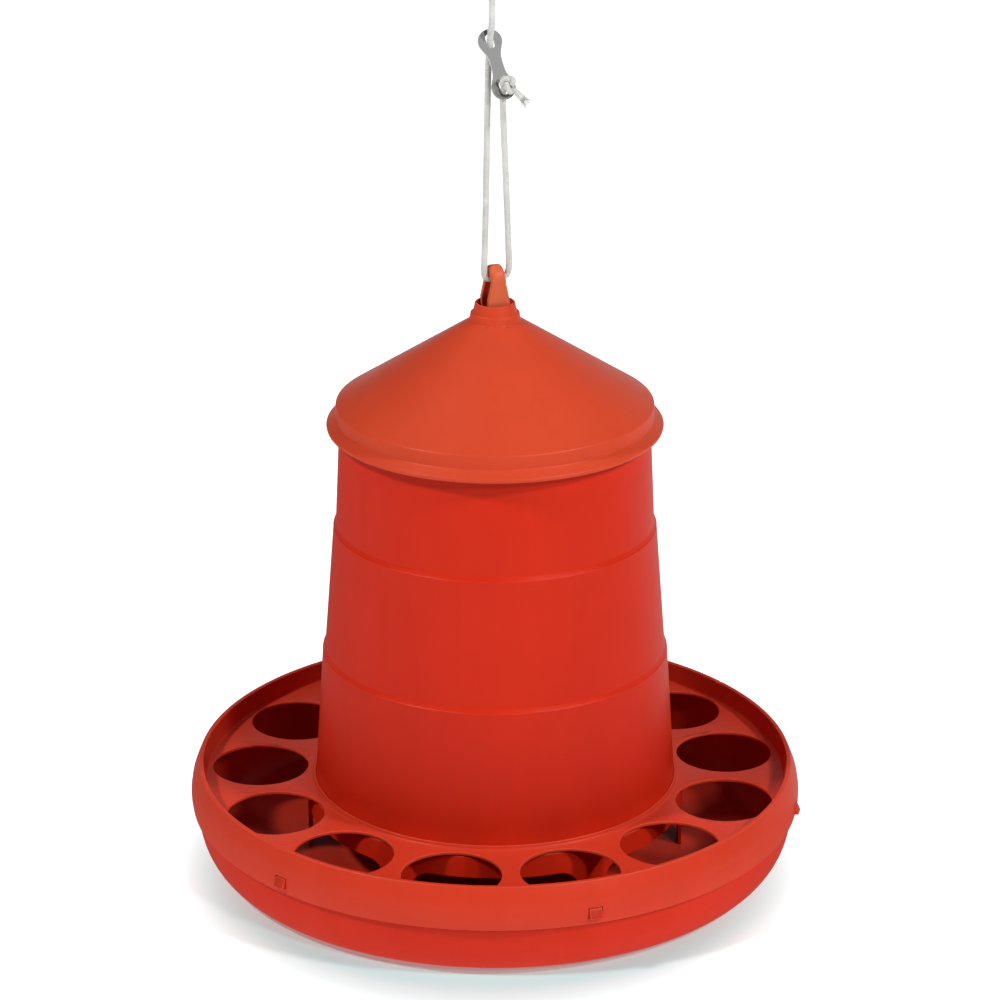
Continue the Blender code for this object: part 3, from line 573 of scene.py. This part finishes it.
def smooth_route(points, spacing):
    """Points at even spacing on a smooth curve through the given ones."""
    points = np.array(points, float)
    ends = np.vstack([2 * points[0] - points[1], points, 2 * points[-1] - points[-2]])
    t = np.linspace(0, 1, 24, endpoint=False)[:, None]
    parts = []
    for a, b, c, d in zip(ends, ends[1:], ends[2:], ends[3:]):
        parts.append(0.5 * (2 * b + (c - a) * t + (2 * a - 5 * b + 4 * c - d) * t**2 + (3 * b - a - 3 * c + d) * t**3))
    dense = np.vstack([*parts, points[-1:]])
    far = np.concatenate([[0.0], np.cumsum(np.linalg.norm(np.diff(dense, axis=0), axis=1))])
    even = np.linspace(0.0, far[-1], max(2, round(far[-1] / spacing)) + 1)
    return np.column_stack([np.interp(even, far, dense[:, axis]) for axis in range(3)])


def carried_frames(route):
    """Two directions across the route at each point, carried along it without a twist."""
    along = np.gradient(route, axis=0)
    along /= np.linalg.norm(along, axis=1)[:, None]
    side = np.cross(along[0], (0.0, 1.0, 0.3))
    sides = []
    for way in along:
        side = side - way * side.dot(way)
        side /= np.linalg.norm(side)
        sides.append(side)
    sides = np.array(sides)
    return sides, np.cross(along, sides)


def braid_height(turn, far, strands, lay):
    """Height of the braid, from 0 to 1, at a share of a turn round the cord and a distance along it."""
    right = (turn + far / lay) * strands
    left = (turn - far / lay) * strands
    over = np.cos(math.pi * (left - 0.5)) * np.cos(math.pi * (right - 0.5))
    crown_right = np.sqrt(1 - (2 * (right % 1.0) - 1) ** 2 * 0.92)
    crown_left = np.sqrt(1 - (2 * (left % 1.0) - 1) ** 2 * 0.92)
    parity = np.where((np.floor(right) + np.floor(left)) % 2 == 0, 1.0, -1.0)
    lift = 0.32 * np.abs(over) * parity
    return np.clip(np.maximum(crown_right + lift, crown_left - lift) / 1.32, 0.0, 1.0)


def braided(name, route, radius, sizes, step=0.0005, sides=40, squeeze=None):
    """A cord whose crossing strands stand out of its surface, as one closed mesh along the route."""
    route = smooth_route(route, step)
    across, up = carried_frames(route)
    far = np.arange(len(route)) * step
    turn = np.arange(sides) / sides
    height = braid_height(turn[None, :], far[:, None], sizes.strands, sizes.lay)
    reach = radius - sizes.relief * (1 - height)
    if squeeze is not None:
        reach = reach * squeeze(far / far[-1])[:, None]
    circle = 2 * math.pi * turn
    ring = np.cos(circle)[None, :, None] * across[:, None, :] + np.sin(circle)[None, :, None] * up[:, None, :]
    points = (route[:, None, :] + ring * reach[:, :, None]).reshape(-1, 3)
    rows = len(route)
    index = np.arange(rows * sides).reshape(rows, sides)
    following = np.roll(index, -1, axis=1)
    quads = np.stack([index[:-1], following[:-1], following[1:], index[1:]], axis=-1).reshape(-1, 4)
    mesh = bpy.data.meshes.new(name)
    faces = [tuple(quad) for quad in quads.tolist()]
    faces.append(tuple(index[0][::-1].tolist()))
    faces.append(tuple(index[-1].tolist()))
    mesh.from_pydata(points.tolist(), [], faces)
    strand = mesh.attributes.new("strand", "FLOAT", "POINT")
    strand.data.foreach_set("value", height.reshape(-1).astype(np.float32))
    chart = mesh.uv_layers.new(name="along_cord")
    u = np.stack([turn, turn + 1 / sides, turn + 1 / sides, turn], axis=-1)
    u = np.broadcast_to(u, (rows - 1, sides, 4)).reshape(-1)
    v = np.stack([far[:-1], far[:-1], far[1:], far[1:]], axis=-1) / sizes.lay
    v = np.broadcast_to(v[:, None, :], (rows - 1, sides, 4)).reshape(-1)
    flat = np.zeros(2 * len(mesh.loops), np.float32)
    flat[0 : 2 * len(u) : 2] = u
    flat[1 : 2 * len(u) : 2] = v
    chart.data.foreach_set("uv", flat)
    mesh.validate()
    mesh.shade_smooth()
    obj = bpy.data.objects.new(name, mesh)
    bpy.context.scene.collection.objects.link(obj)
    edit(obj, "FACE")
    outwards()
    done()
    return obj


def cord_piece(obj, slot, *nodes):
    obj.data.materials.clear()
    obj.data.materials.append(cord_yarn())
    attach(obj, BODY)
    if nodes:
        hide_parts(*nodes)
    return obj


def main_route():
    return [Vector((x, y, z)) * MM + Vector((0, 0, EYE_TOP)) for x, y, z in CORD_CORNERS]


def plate_place():
    """Place of the tensioner, whose long side runs along its own Z and whose front faces -Y."""
    turn = Matrix.Rotation(math.radians(12), 4, "Z")
    roll = Matrix.Rotation(math.radians(-16.4), 4, "Y")
    lean = Matrix.Rotation(math.radians(-22), 4, "X")
    return Matrix.Translation((0.001, 0.0, EYE_TOP + 0.124)) @ lean @ roll @ turn


def trefoil(place, half, first=0.0, last=1.0, steps=40):
    """Points of a cord that winds once through an overhand knot, whose lump fills the half sizes."""
    points = []
    for step in range(steps + 1):
        turn = 2 * math.pi * (first + (last - first) * step / steps)
        x = (math.sin(turn) + 2 * math.sin(2 * turn)) / 2.60
        z = (math.cos(turn) - 2 * math.cos(2 * turn) + 0.47) / 2.53
        points.append(place @ Vector((x * half[0], -math.sin(3 * turn) * half[1], z * half[2])))
    return points


def frayed(name, foot, way, spread, reach, number, thickness):
    """Loose fibres that stand out from the cut end of the cord, as one mesh."""
    dice = random.Random(11)
    curve = bpy.data.curves.new(name, "CURVE")
    curve.dimensions = "3D"
    curve.bevel_depth = thickness / 2
    curve.bevel_resolution = 1
    curve.use_fill_caps = True
    side = way.orthogonal().normalized()
    other = way.cross(side)
    for _ in range(number):
        turn = dice.uniform(0.0, 2 * math.pi)
        out = side * math.cos(turn) + other * math.sin(turn)
        start = foot + out * spread * math.sqrt(dice.random())
        long = reach * dice.uniform(0.45, 1.0)
        lean = dice.uniform(0.05, 0.55)
        curl = Vector((dice.uniform(-1, 1), dice.uniform(-1, 1), dice.uniform(-1.2, 0.4))) * 0.35
        spline = curve.splines.new("POLY")
        spline.points.add(7)
        for index, point in enumerate(spline.points):
            share = index / 7
            at = start + way * long * share + out * long * lean * share**1.6 + curl * long * share**2.4
            point.co = (*at, 1.0)
            point.radius = 1.0 - 0.6 * share
    obj = bpy.data.objects.new(name, curve)
    bpy.context.scene.collection.objects.link(obj)
    only(obj)
    bpy.ops.object.convert(target="MESH")
    obj = bpy.context.view_layer.objects.active
    edit(obj)
    bpy.ops.mesh.select_all(action="SELECT")
    bpy.ops.mesh.remove_doubles(threshold=0.000004)
    outwards()
    done()
    strand = obj.data.attributes.new("strand", "FLOAT", "POINT")
    strand.data.foreach_set("value", np.full(len(obj.data.vertices), 0.9, np.float32))
    obj.data.uv_layers.new(name="along_cord")
    obj.data.shade_smooth()
    return obj


def joined(name, *pieces):
    bpy.ops.object.select_all(action="DESELECT")
    for piece in pieces:
        piece.select_set(True)
    bpy.context.view_layer.objects.active = pieces[0]
    bpy.ops.object.join()
    return added(name)


class FEEDER_OT_tensioner(bpy.types.Operator):
    """Shapes the tensioner: a steel plate with two round lobes, a hollow waist and two slots."""

    bl_idname = "feeder.tensioner"
    bl_label = "Tensioner"

    def execute(self, context):
        sizes = context.scene.feeder_cord
        thick = sizes.plate_thickness
        waist = box("tensioner_plate", (0.0128, thick, 0.0218), (0.0, 0.0, 0.0))
        edit(waist)
        shape = ((9.0, 5.60), (7.5, 4.80), (6.0, 4.25), (4.0, 3.85), (0.0, 3.70))
        for height in {side * height for height, _ in shape for side in (1, -1)}:
            bpy.ops.mesh.select_all(action="SELECT")
            bpy.ops.mesh.bisect(plane_co=(0, 0, height * MM), plane_no=(0, 0, 1))
        for height, width in shape:
            select(waist, "VERT", lambda v: abs(abs(v.co.z) - height * MM) < 0.00001)
            bpy.ops.transform.resize(value=(width / 6.4, 1, 1), center_override=(0, 0, 0))
        done()
        for side in (1, -1):
            combine(waist, self.disc("lobe", 0.0073, thick, side * 0.0143), "UNION")
        for side in (1, -1):
            slot = self.disc("slot", 0.0025, 3 * thick, side * 0.0143 + 0.0019)
            edit(slot)
            select(slot, "VERT", lambda v: v.co.z < side * 0.0143 + 0.0019 + 0.00001)
            bpy.ops.transform.translate(value=(0, 0, -0.0038))
            done()
            combine(waist, slot, "DIFFERENCE")
        edges = waist.modifiers.new("Edges", "BEVEL")
        edges.width = sizes.plate_edge
        edges.segments = 3
        edges.limit_method = "ANGLE"
        edges.angle_limit = math.radians(60)
        apply_all(waist)
        waist.data.transform(plate_place())
        finish_piece(waist, plate_steel(), "steel", "tensioner")
        # The plate's sides and rounded edges are marked for the painted highlight.
        front = plate_place().to_3x3() @ Vector((0.0, -1.0, 0.0))
        mark(waist, "edge", lambda centre, normal: abs(normal.dot(front)) < 0.9)
        return {"FINISHED"}

    def disc(self, name, radius, depth, height):
        disc = cylinder(name, radius, depth, (0.0, 0.0, 0.0), 96)
        disc.rotation_euler.x = math.pi / 2
        disc.location.z = height
        bpy.ops.object.transform_apply(location=True, rotation=True, scale=True)
        return disc


class FEEDER_OT_knots(bpy.types.Operator):
    """Ties the stopper knot with its frayed tail, and the knot and loop at the top of the cord."""

    bl_idname = "feeder.knots"
    bl_label = "Knots and loop"

    def execute(self, context):
        sizes = context.scene.feeder_cord
        place = plate_place() @ Matrix.Translation((0.0020, -0.0054, -0.0143))
        route = trefoil(place, (0.0029, 0.0024, 0.0042), 0.04, 0.93)
        way = Vector((0.72, -0.15, -0.66)).normalized()
        centre = place.translation
        route += [centre + way * 0.0046, centre + way * 0.0085, centre + way * 0.0112]
        knot = braided("stopper", route, 0.0017, sizes, squeeze=lambda share: 1.0 + 3.0 * np.maximum(share - 0.9, 0.0))
        fray = frayed("fray", centre + way * 0.0106, way, 0.0019, 0.0062, 90, 0.00026)
        cord_piece(joined("stopper_knot_cord", knot, fray), "white_cord", "stopper_knot")

        top = main_route()[-1] + Vector((0.0, 0.0, 0.0003))
        middle = top + Vector((0.0, 0.0, 0.00625))
        tied = braided("top_knot", trefoil(Matrix.Translation(middle), (0.0029, 0.0029, 0.0045)), 0.0017, sizes)
        shape = [(0.0, 0.0), (0.35, 0.18), (0.85, 0.48), (1.0, 0.70), (0.78, 0.90), (0.0, 1.0)]
        shape += [(-x, z) for x, z in reversed(shape[1:-1])] + [(0.0, 0.0)]
        base = middle + Vector((0.0, 0.0, 0.0025))
        way_round = [base + Vector((x * 0.0065, 0.0, z * 0.0252)) for x, z in shape]
        way_round[0].x += 0.0016
        way_round[-1].x -= 0.0016
        loop = braided("loop", way_round, sizes.diameter / 2, sizes)
        cord_piece(joined("top_loop_cord", tied, loop), "white_cord", "top_loop")
        return {"FINISHED"}


class FEEDER_OT_cord(bpy.types.Operator):
    """Braids the cord along its taut route from the stopper knot, through the eye and up to the loop."""

    bl_idname = "feeder.cord"
    bl_label = "Cord"

    def execute(self, context):
        sizes = context.scene.feeder_cord
        rope = cord_piece(braided("braided_cord", main_route(), sizes.diameter / 2, sizes), "white_cord", "cord")
        return {"FINISHED"}


# ---------------------------------------------------------------- moulded pieces


def in_mm(*corners):
    """Outline corners, written in millimetres, as metres."""
    return [tuple(value * MM for value in corner) for corner in corners]


def pan_side(inset, steps=14):
    """The curve from the pan's wall to its floor, moved inwards by inset, from the top down, in millimetres."""
    width, height, power = 22.2 - inset, 34.0 - inset, 2 / 2.15
    points = []
    for step in range(steps + 1):
        turn = math.pi / 2 * step / steps
        out = width * math.cos(turn) ** power if step < steps else 0.0
        points.append((167.0 + out, 34.0 - height * math.sin(turn) ** power))
    return points


class FEEDER_OT_pan(bpy.types.Operator):
    """Turns the pan with its cone and hub, and joins six lugs to its wall."""

    bl_idname = "feeder.pan"
    bl_label = "Pan"

    def execute(self, context):
        sizes = context.scene.feeder_sizes
        corners = in_mm(
            (6.0, 24.0), (18.0, 24.0, 4.0), (98.43, 2.2, 25.0),
            *reversed(pan_side(2.2)),
            (187.0, 52.4, 0.7), (189.2, 52.4, 0.7),
            *pan_side(0.0),
            (98.72, 0.0, 4.0), (17.71, 21.8, 2.0), (6.0, 21.8),
        )
        pan = turned("pan_moulding", corners, sizes.sides)
        combine(pan, turned_copies(self.lug(), around(sizes.lugs, sizes.first_lug)), "UNION")
        finish_piece(pan, red_plastic(), "red_plastic", "pan")
        # Painted shade in the trough under the guard.
        mark(pan, "inside", self.in_shaded_trough)
        return {"FINISHED"}

    def in_shaded_trough(self, centre, normal):
        inwards = centre.x * normal.x + centre.y * normal.y < 0.0
        return 0.0015 < centre.z < 0.0515 and normal.z > -0.05 and (inwards or normal.z > 0.3)

    def lug(self):
        """A wedge whose upper nose is drawn back, so that the guard slides over it."""
        lug = box("lug", (0.0080, 0.0078, 0.0060), (0.0, -0.1921, 0.0432))
        edit(lug)
        select(lug, "VERT", lambda v: v.co.z > 0.0432 and v.co.y < -0.1921)
        bpy.ops.transform.translate(value=(0, 0.0026, 0))
        select(lug, "EDGE", lambda e: all(v.co.y < -0.1921 for v in e.verts))
        bevel(0.0006, 2)
        done()
        return lug


class FEEDER_OT_guard(bpy.types.Operator):
    """Turns the head guard and cuts its head holes, the windows for the lugs and the notch in its rim."""

    bl_idname = "feeder.guard"
    bl_label = "Head guard"

    def execute(self, context):
        sizes = context.scene.feeder_sizes
        corners = in_mm(
            (114.05, 53.2, 0.3), (115.05, 53.2, 0.5), (115.75, 50.4, 2.2), (183.4, 50.4, 1.0), (185.2, 62.5, 0.9),
            (188.0, 62.5, 1.0), (192.0, 52.4, 20.0), (193.4, 43.2, 18.0), (192.4, 35.8, 0.7), (190.2, 35.8, 0.6),
            (191.2, 43.2), (189.8, 52.4), (187.12, 60.3), (186.08, 60.3), (185.6, 48.2), (114.35, 48.2),
        )
        guard = turned("guard_moulding", corners, sizes.sides)
        hole = cylinder("hole", sizes.hole_radius, 0.0066, (0.0, -sizes.hole_pitch, 0.0493))
        turns = around(sizes.holes, sizes.first_hole)
        combine(guard, turned_copies(hole, turns), "DIFFERENCE")
        window = box("window", (0.0090, 0.0088, 0.0070), (0.0, -0.1934, 0.0432))
        combine(guard, turned_copies(window, around(sizes.lugs, sizes.first_lug)), "DIFFERENCE")
        notch = box("notch", (0.0034, 0.0080, 0.0016), (0.0, -0.1870, 0.0625))
        combine(guard, turned_copies(notch, (math.radians(127),)), "DIFFERENCE")
        centres = [at_angle(turn, sizes.hole_pitch) for turn in turns]

        def hole_edge(edge):
            if abs(edge.verts[0].co.z - edge.verts[1].co.z) > 0.0001:
                return False
            return any(
                all(abs(math.hypot(v.co.x - c.x, v.co.y - c.y) - sizes.hole_radius) < 0.0001 for v in edge.verts)
                for c in centres
            )

        edit(guard)
        select(guard, "EDGE", hole_edge)
        bevel(0.0006, 3)
        done()
        finish_piece(guard, guard_plastic(), "red_plastic", "head_guard")
        return {"FINISHED"}


class FEEDER_OT_hopper(bpy.types.Operator):
    """Turns the stepped hopper and cuts the feed ports between its feet."""

    bl_idname = "feeder.hopper"
    bl_label = "Hopper"

    def execute(self, context):
        sizes = context.scene.feeder_sizes
        corners = in_mm(
            (95.3, 298.7, 0.6), (98.78, 223.25, 1.5), (100.00, 220.65, 0.4), (100.46, 220.25, 0.25), (100.44, 219.35, 0.2),
            (106.58, 140.75, 1.5), (107.80, 138.15, 0.4), (108.26, 137.75, 0.25), (108.24, 136.85, 0.2),
            (114.16, 47.9, 0.6), (119.16, 47.9, 1.2), (119.43, 2.5, 0.6),
            (117.43, 2.5, 0.6), (117.16, 45.9), (112.16, 45.9), (106.18, 137.25), (104.58, 140.75),
            (98.38, 219.75), (96.78, 223.25), (93.3, 298.7, 0.6),
        )
        hopper = turned("hopper_moulding", corners, sizes.sides)
        port = box("port", (0.1014, 0.0537, 0.0620), (0.0, -0.11943, 0.0025))
        edit(port)
        select(port, "EDGE", lambda e: all(v.co.z > 0.03 for v in e.verts) and abs(e.verts[0].co.x - e.verts[1].co.x) < MM)
        bevel(0.011, 8)
        done()
        combine(hopper, turned_copies(port, around(6)), "DIFFERENCE")
        finish_piece(hopper, red_plastic(), "red_plastic", "hopper")
        return {"FINISHED"}


class FEEDER_OT_lid(bpy.types.Operator):
    """Turns the conical lid with its flared brim and its two-step collar."""

    bl_idname = "feeder.lid"
    bl_label = "Lid"

    def execute(self, context):
        sizes = context.scene.feeder_sizes
        corners = in_mm(
            (10.94, 363.87, 0.4), (12.24, 363.87, 0.6), (13.4, 357.67, 0.5), (14.9, 357.67, 0.8), (15.7, 352.70, 0.8),
            (97.9, 299.52, 1.4), (97.9, 291.02, 1.0), (103.9, 286.72, 1.0), (103.3, 284.42, 0.5), (102.1, 284.42, 0.5),
            (96.7, 289.22), (96.1, 291.02), (96.1, 298.54), (10.94, 353.64),
        )
        lid = turned("lid_moulding", corners, sizes.sides)
        notch = box("notch", (0.0020, 0.0018, 0.0014), (0.0, -0.0150, 0.3572))
        combine(lid, turned_copies(notch, (math.pi / 2, -math.pi / 2)), "DIFFERENCE")
        for turn in (-18, 27):
            bpy.ops.object.select_all(action="DESELECT")
            place = at_angle(math.radians(turn), 0.0160, 0.3526)
            bpy.ops.mesh.primitive_uv_sphere_add(segments=16, ring_count=8, radius=0.0008, location=place)
            combine(lid, added("pip"), "UNION")
        finish_piece(lid, light_red_plastic(), "red_plastic", "lid")
        return {"FINISHED"}


class FEEDER_OT_stem(bpy.types.Operator):
    """Shapes the centre stem: an eye for the cord, a ribbed shank, a flange and a threaded end."""

    bl_idname = "feeder.stem"
    bl_label = "Centre stem"

    def execute(self, context):
        stem = self.strip()
        combine(stem, self.opening(), "DIFFERENCE")
        edit(stem)
        bpy.ops.mesh.select_all(action="SELECT")
        bpy.ops.mesh.remove_doubles(threshold=0.00003)
        bpy.ops.mesh.dissolve_degenerate(threshold=0.00003)
        done()
        for turn in (0.0, math.pi / 2):
            combine(stem, self.rib(turn), "UNION")
        combine(stem, self.foot(), "UNION")
        stem.rotation_euler.z = context.scene.feeder_sizes.eye_turn
        finish_piece(stem, orange_red_plastic(), "red_plastic", "centre_stem")
        # Painted shade inside the eye.
        mark(stem, "inside", self.in_shaded_eye)
        return {"FINISHED"}

    def in_shaded_eye(self, centre, normal):
        inwards = centre.x * normal.x + centre.y * normal.y < -0.001
        return inwards and EYE_TOP - 0.036 < centre.z < EYE_TOP - 0.0055

    def strip(self):
        """The eye's strip, with a half-round crown, and wider towards its foot."""
        strip = box("stem_moulding", (0.0085, 0.0160, 0.0390), (0.0, 0.0, EYE_TOP - 0.0195))
        edit(strip)
        select(strip, "EDGE", lambda e: across_x(e) and e.verts[0].co.z > EYE_TOP - MM)
        bevel(0.00799, 14)
        for drop in (0.0100, 0.0210):
            bpy.ops.mesh.select_all(action="SELECT")
            bpy.ops.mesh.bisect(plane_co=(0, 0, EYE_TOP - drop), plane_no=(0, 0, 1))
        select(strip, "VERT", lambda v: v.co.z < EYE_TOP - 0.0205)
        bpy.ops.transform.resize(value=(13.4 / 8.5, 1, 1), center_override=(0, 0, 0))
        select(strip, "EDGE", lambda e: not across_x(e) and all(v.co.z > EYE_TOP - 0.0075 for v in e.verts))
        bevel(0.0022, 5)
        done()
        return strip

    def opening(self):
        opening = box("opening", (0.0300, 0.0090, 0.0290), (0.0, 0.0, EYE_TOP - 0.0205))
        edit(opening)
        select(opening, "EDGE", lambda e: across_x(e) and e.verts[0].co.z > EYE_TOP - 0.0100)
        bevel(0.00449, 12)
        done()
        return opening

    def rib(self, turn):
        rib = box("rib", (0.0200, 0.0028, 0.32447), (0.0, 0.0, 0.188135))
        edit(rib)
        select(rib, "VERT", lambda v: v.co.z > 0.3)
        bpy.ops.transform.resize(value=(0.65, 1, 1), center_override=(0, 0, 0))
        select(rib, "EDGE", lambda e: abs(e.verts[0].co.z - e.verts[1].co.z) > 0.1)
        bevel(0.0005, 2)
        done()
        rib.rotation_euler.z = turn
        only(rib)
        bpy.ops.object.transform_apply(location=True, rotation=True, scale=True)
        return rib

    def foot(self):
        """The flange that rests on the pan's hub, and the thread under it."""
        thread = []
        for turn in range(8):
            height = 22.0 - 1.75 * turn
            thread += [(5.5, height), (5.5, height - 0.6), (4.95, height - 1.0), (4.95, height - 1.3)]
        corners = in_mm((5.0, 30.7), (15.0, 27.5, 0.8), (15.0, 24.3, 0.5), (5.5, 24.3), *thread, (5.5, 7.6), (4.7, 6.5))
        return turned("foot", corners, 64, closed=False)


class FEEDER_OT_nut(bpy.types.Operator):
    """Turns the wing nut in the hollow under the pan and joins its two wings."""

    bl_idname = "feeder.nut"
    bl_label = "Wing nut"

    def execute(self, context):
        nut = turned("wing_nut_moulding", in_mm((6.0, 21.5), (10.0, 21.5, 0.8), (10.0, 13.5, 0.8), (6.0, 13.5)), 64)
        wing = box("wing", (0.0030, 0.0080, 0.0060), (0.0, -0.0120, 0.0175))
        edit(wing)
        select(wing, "EDGE", lambda e: True)
        bevel(0.0008, 3)
        done()
        combine(nut, turned_copies(wing, around(2, math.pi / 2)), "UNION")
        finish_piece(nut, red_plastic(), "red_plastic", "wing_nut")
        return {"FINISHED"}


# ---------------------------------------------------------------- stage


class FEEDER_OT_stage(bpy.types.Operator):
    """Adds the floor, the lamps, the light from all sides and the camera."""

    bl_idname = "feeder.stage"
    bl_label = "Stage"

    def execute(self, context):
        light = context.scene.feeder_light
        self.floor(context)
        self.world(context, light)
        self.lamp("key_left", light.key_left, -60, 47)
        self.lamp("key_right", light.key_right, 60, 41)
        self.lamp("front", light.front, 34, 36)
        self.lamp("rear", light.rear, 180, 60)
        self.camera(context)
        context.scene.view_settings.view_transform = "Standard"
        return {"FINISHED"}

    def floor(self, context):
        bpy.ops.object.select_all(action="DESELECT")
        bpy.ops.mesh.primitive_grid_add(x_subdivisions=4, y_subdivisions=4, size=12.0, location=(0, 0, -0.0002))
        floor = added("floor")
        bpy.ops.object.transform_apply(location=True, rotation=True, scale=True)
        material = bpy.data.materials.new("floor_paint")
        material.use_nodes = True
        tree = material.node_tree
        shader = tree.nodes["Principled BSDF"]
        shader.inputs["Base Color"].default_value = (*context.scene.feeder_finishes.floor, 1.0)
        shader.inputs["Roughness"].default_value = 0.9
        shader.inputs["Specular IOR Level"].default_value = 0.0
        shader.inputs["Emission Color"].default_value = (1.0, 1.0, 1.0, 1.0)
        rays = node(tree, "LightPath")
        place = node(tree, "TexCoord").outputs["Object"]
        # Painted shadow: to the camera the floor glows white far from the feeder and less near it, in an oval pushed
        # towards the front, which darkens a ring round the feeder on top of its real shadow.
        oval = node(tree, "VectorMath", {0: place, 1: (1.05, 1.0, 1.0)}, operation="MULTIPLY").outputs[0]
        far = node(tree, "VectorMath", {0: oval, 1: (-0.004, -0.035, 0.0)}, operation="DISTANCE").outputs["Value"]
        white = node(tree, "MapRange", {"Value": far, 1: 0.155, 2: 0.235, 3: 0.20, 4: 1.0}, interpolation_type="SMOOTHSTEP")
        seen = math_node(tree, "MULTIPLY", rays.outputs["Is Camera Ray"], white.outputs[0])
        way = node(tree, "VectorMath", {0: place}, operation="NORMALIZE").outputs[0]
        way = node(tree, "SeparateXYZ", {0: way}).outputs
        side = math_node(tree, "MULTIPLY_ADD", way[0], 0.5, way[1])
        side = node(tree, "MapRange", {"Value": side, 1: 0.68, 2: 0.78, 3: 0.16, 4: 0.5}).outputs[0]
        seen = math_node(tree, "MULTIPLY_ADD", rays.outputs["Is Glossy Ray"], side, seen)
        seen = math_node(tree, "MULTIPLY_ADD", rays.outputs["Is Diffuse Ray"], context.scene.feeder_light.bounce, seen)
        tree.links.new(seen, shader.inputs["Emission Strength"])
        # Red light from the pan tints the floor up to its rim, so the paint there holds less red.
        outer = node(tree, "VectorMath", {0: place}, operation="LENGTH").outputs["Value"]
        outer = node(tree, "MapRange", {"Value": outer, 1: 0.190, 2: 0.203}).outputs[0]
        finishes = context.scene.feeder_finishes
        paint = mix_colour(tree, outer, (*finishes.floor, 1.0), (*finishes.floor_far, 1.0))
        paint = mix_colour(tree, rays.outputs["Is Camera Ray"], (0, 0, 0), paint)
        tree.links.new(paint, shader.inputs["Base Color"])
        floor.data.materials.append(material)

    def world(self, context, light):
        world = bpy.data.worlds.new("studio")
        context.scene.world = world
        world.use_nodes = True
        tree = world.node_tree
        rays = node(tree, "LightPath")
        way = node(tree, "SeparateXYZ", {0: node(tree, "TexCoord").outputs["Generated"]}).outputs
        behind = math_node(tree, "MULTIPLY_ADD", way[0], 0.5, way[1])
        behind = node(tree, "MapRange", {"Value": behind, 1: 0.70, 2: 0.82, 3: 0.12, 4: 0.42}).outputs[0]
        above = node(tree, "MapRange", {"Value": way[2], 1: 0.55, 2: 0.95, 3: 0.0, 4: 0.9}).outputs[0]
        mirrored = math_node(tree, "MAXIMUM", behind, above)
        mirrored = math_node(tree, "MULTIPLY", rays.outputs["Is Glossy Ray"], mirrored)
        shown = math_node(tree, "MAXIMUM", rays.outputs["Is Camera Ray"], mirrored)
        shown = math_node(tree, "MAXIMUM", shown, rays.outputs["Is Transmission Ray"])
        strength = node(tree, "MapRange", {"Value": shown, 3: light.world, 4: 1.0}).outputs[0]
        background = tree.nodes["Background"]
        background.inputs["Color"].default_value = (1.0, 1.0, 1.0, 1.0)
        tree.links.new(strength, background.inputs["Strength"])

    def lamp(self, name, power, turn, rise):
        """A round lamp that shines on the feeder from a turn round it, in degrees from the front, and a height."""
        turn, rise = math.radians(turn), math.radians(rise)
        way = at_angle(turn, math.cos(rise), math.sin(rise))
        bpy.ops.object.select_all(action="DESELECT")
        bpy.ops.object.light_add(
            type="AREA",
            location=Vector((0.0, 0.0, 0.15)) + 3.2 * way,
            rotation=(-way).to_track_quat("-Z", "Y").to_euler(),
        )
        lamp = bpy.context.view_layer.objects.active
        lamp.name = name
        lamp.data.shape = "DISK"
        lamp.data.size = 0.36
        lamp.data.energy = power

    def camera(self, context):
        bpy.ops.object.select_all(action="DESELECT")
        turn = (math.radians(90 - 20.98), 0.0, 0.0)
        bpy.ops.object.camera_add(location=(0.0, -2.142, 1.0561), rotation=turn)
        camera = context.view_layer.objects.active
        camera.name = "photo_camera"
        camera.data.lens = 133.2
        camera.data.sensor_width = 36.0
        camera.data.shift_x = 0.005
        context.scene.camera = camera


# ---------------------------------------------------------------- panel and run

OPERATORS = (
    FEEDER_OT_stage,
    FEEDER_OT_tensioner,
    FEEDER_OT_knots,
    FEEDER_OT_cord,
    FEEDER_OT_pan,
    FEEDER_OT_guard,
    FEEDER_OT_hopper,
    FEEDER_OT_lid,
    FEEDER_OT_stem,
    FEEDER_OT_nut,
)


class FEEDER_PT_panel(bpy.types.Panel):
    """Lists the pieces of the feeder."""

    bl_idname = "FEEDER_PT_panel"
    bl_label = "Poultry feeder"
    bl_space_type = "VIEW_3D"
    bl_region_type = "UI"
    bl_category = "Feeder"

    def draw(self, context):
        for operator in OPERATORS:
            self.layout.operator(operator.bl_idname)
        for group in GROUPS:
            holder = getattr(context.scene, group)
            for key in holder.bl_rna.properties.keys()[2:]:
                self.layout.prop(holder, key)


GROUPS = {
    "feeder_sizes": FeederSizes,
    "feeder_cord": CordSizes,
    "feeder_finishes": Finishes,
    "feeder_light": StudioLight,
}


def register():
    for kind in (*GROUPS.values(), *OPERATORS, FEEDER_PT_panel):
        bpy.utils.register_class(kind)
    for key, kind in GROUPS.items():
        setattr(bpy.types.Scene, key, bpy.props.PointerProperty(type=kind))


def unregister():
    for key in GROUPS:
        delattr(bpy.types.Scene, key)
    for kind in (FEEDER_PT_panel, *reversed(OPERATORS), *reversed(GROUPS.values())):
        bpy.utils.unregister_class(kind)


def main():
    register()
    for operator in OPERATORS:
        group, name = operator.bl_idname.split(".")
        getattr(getattr(bpy.ops, group), name)()


if __name__ == "__main__":
    main()
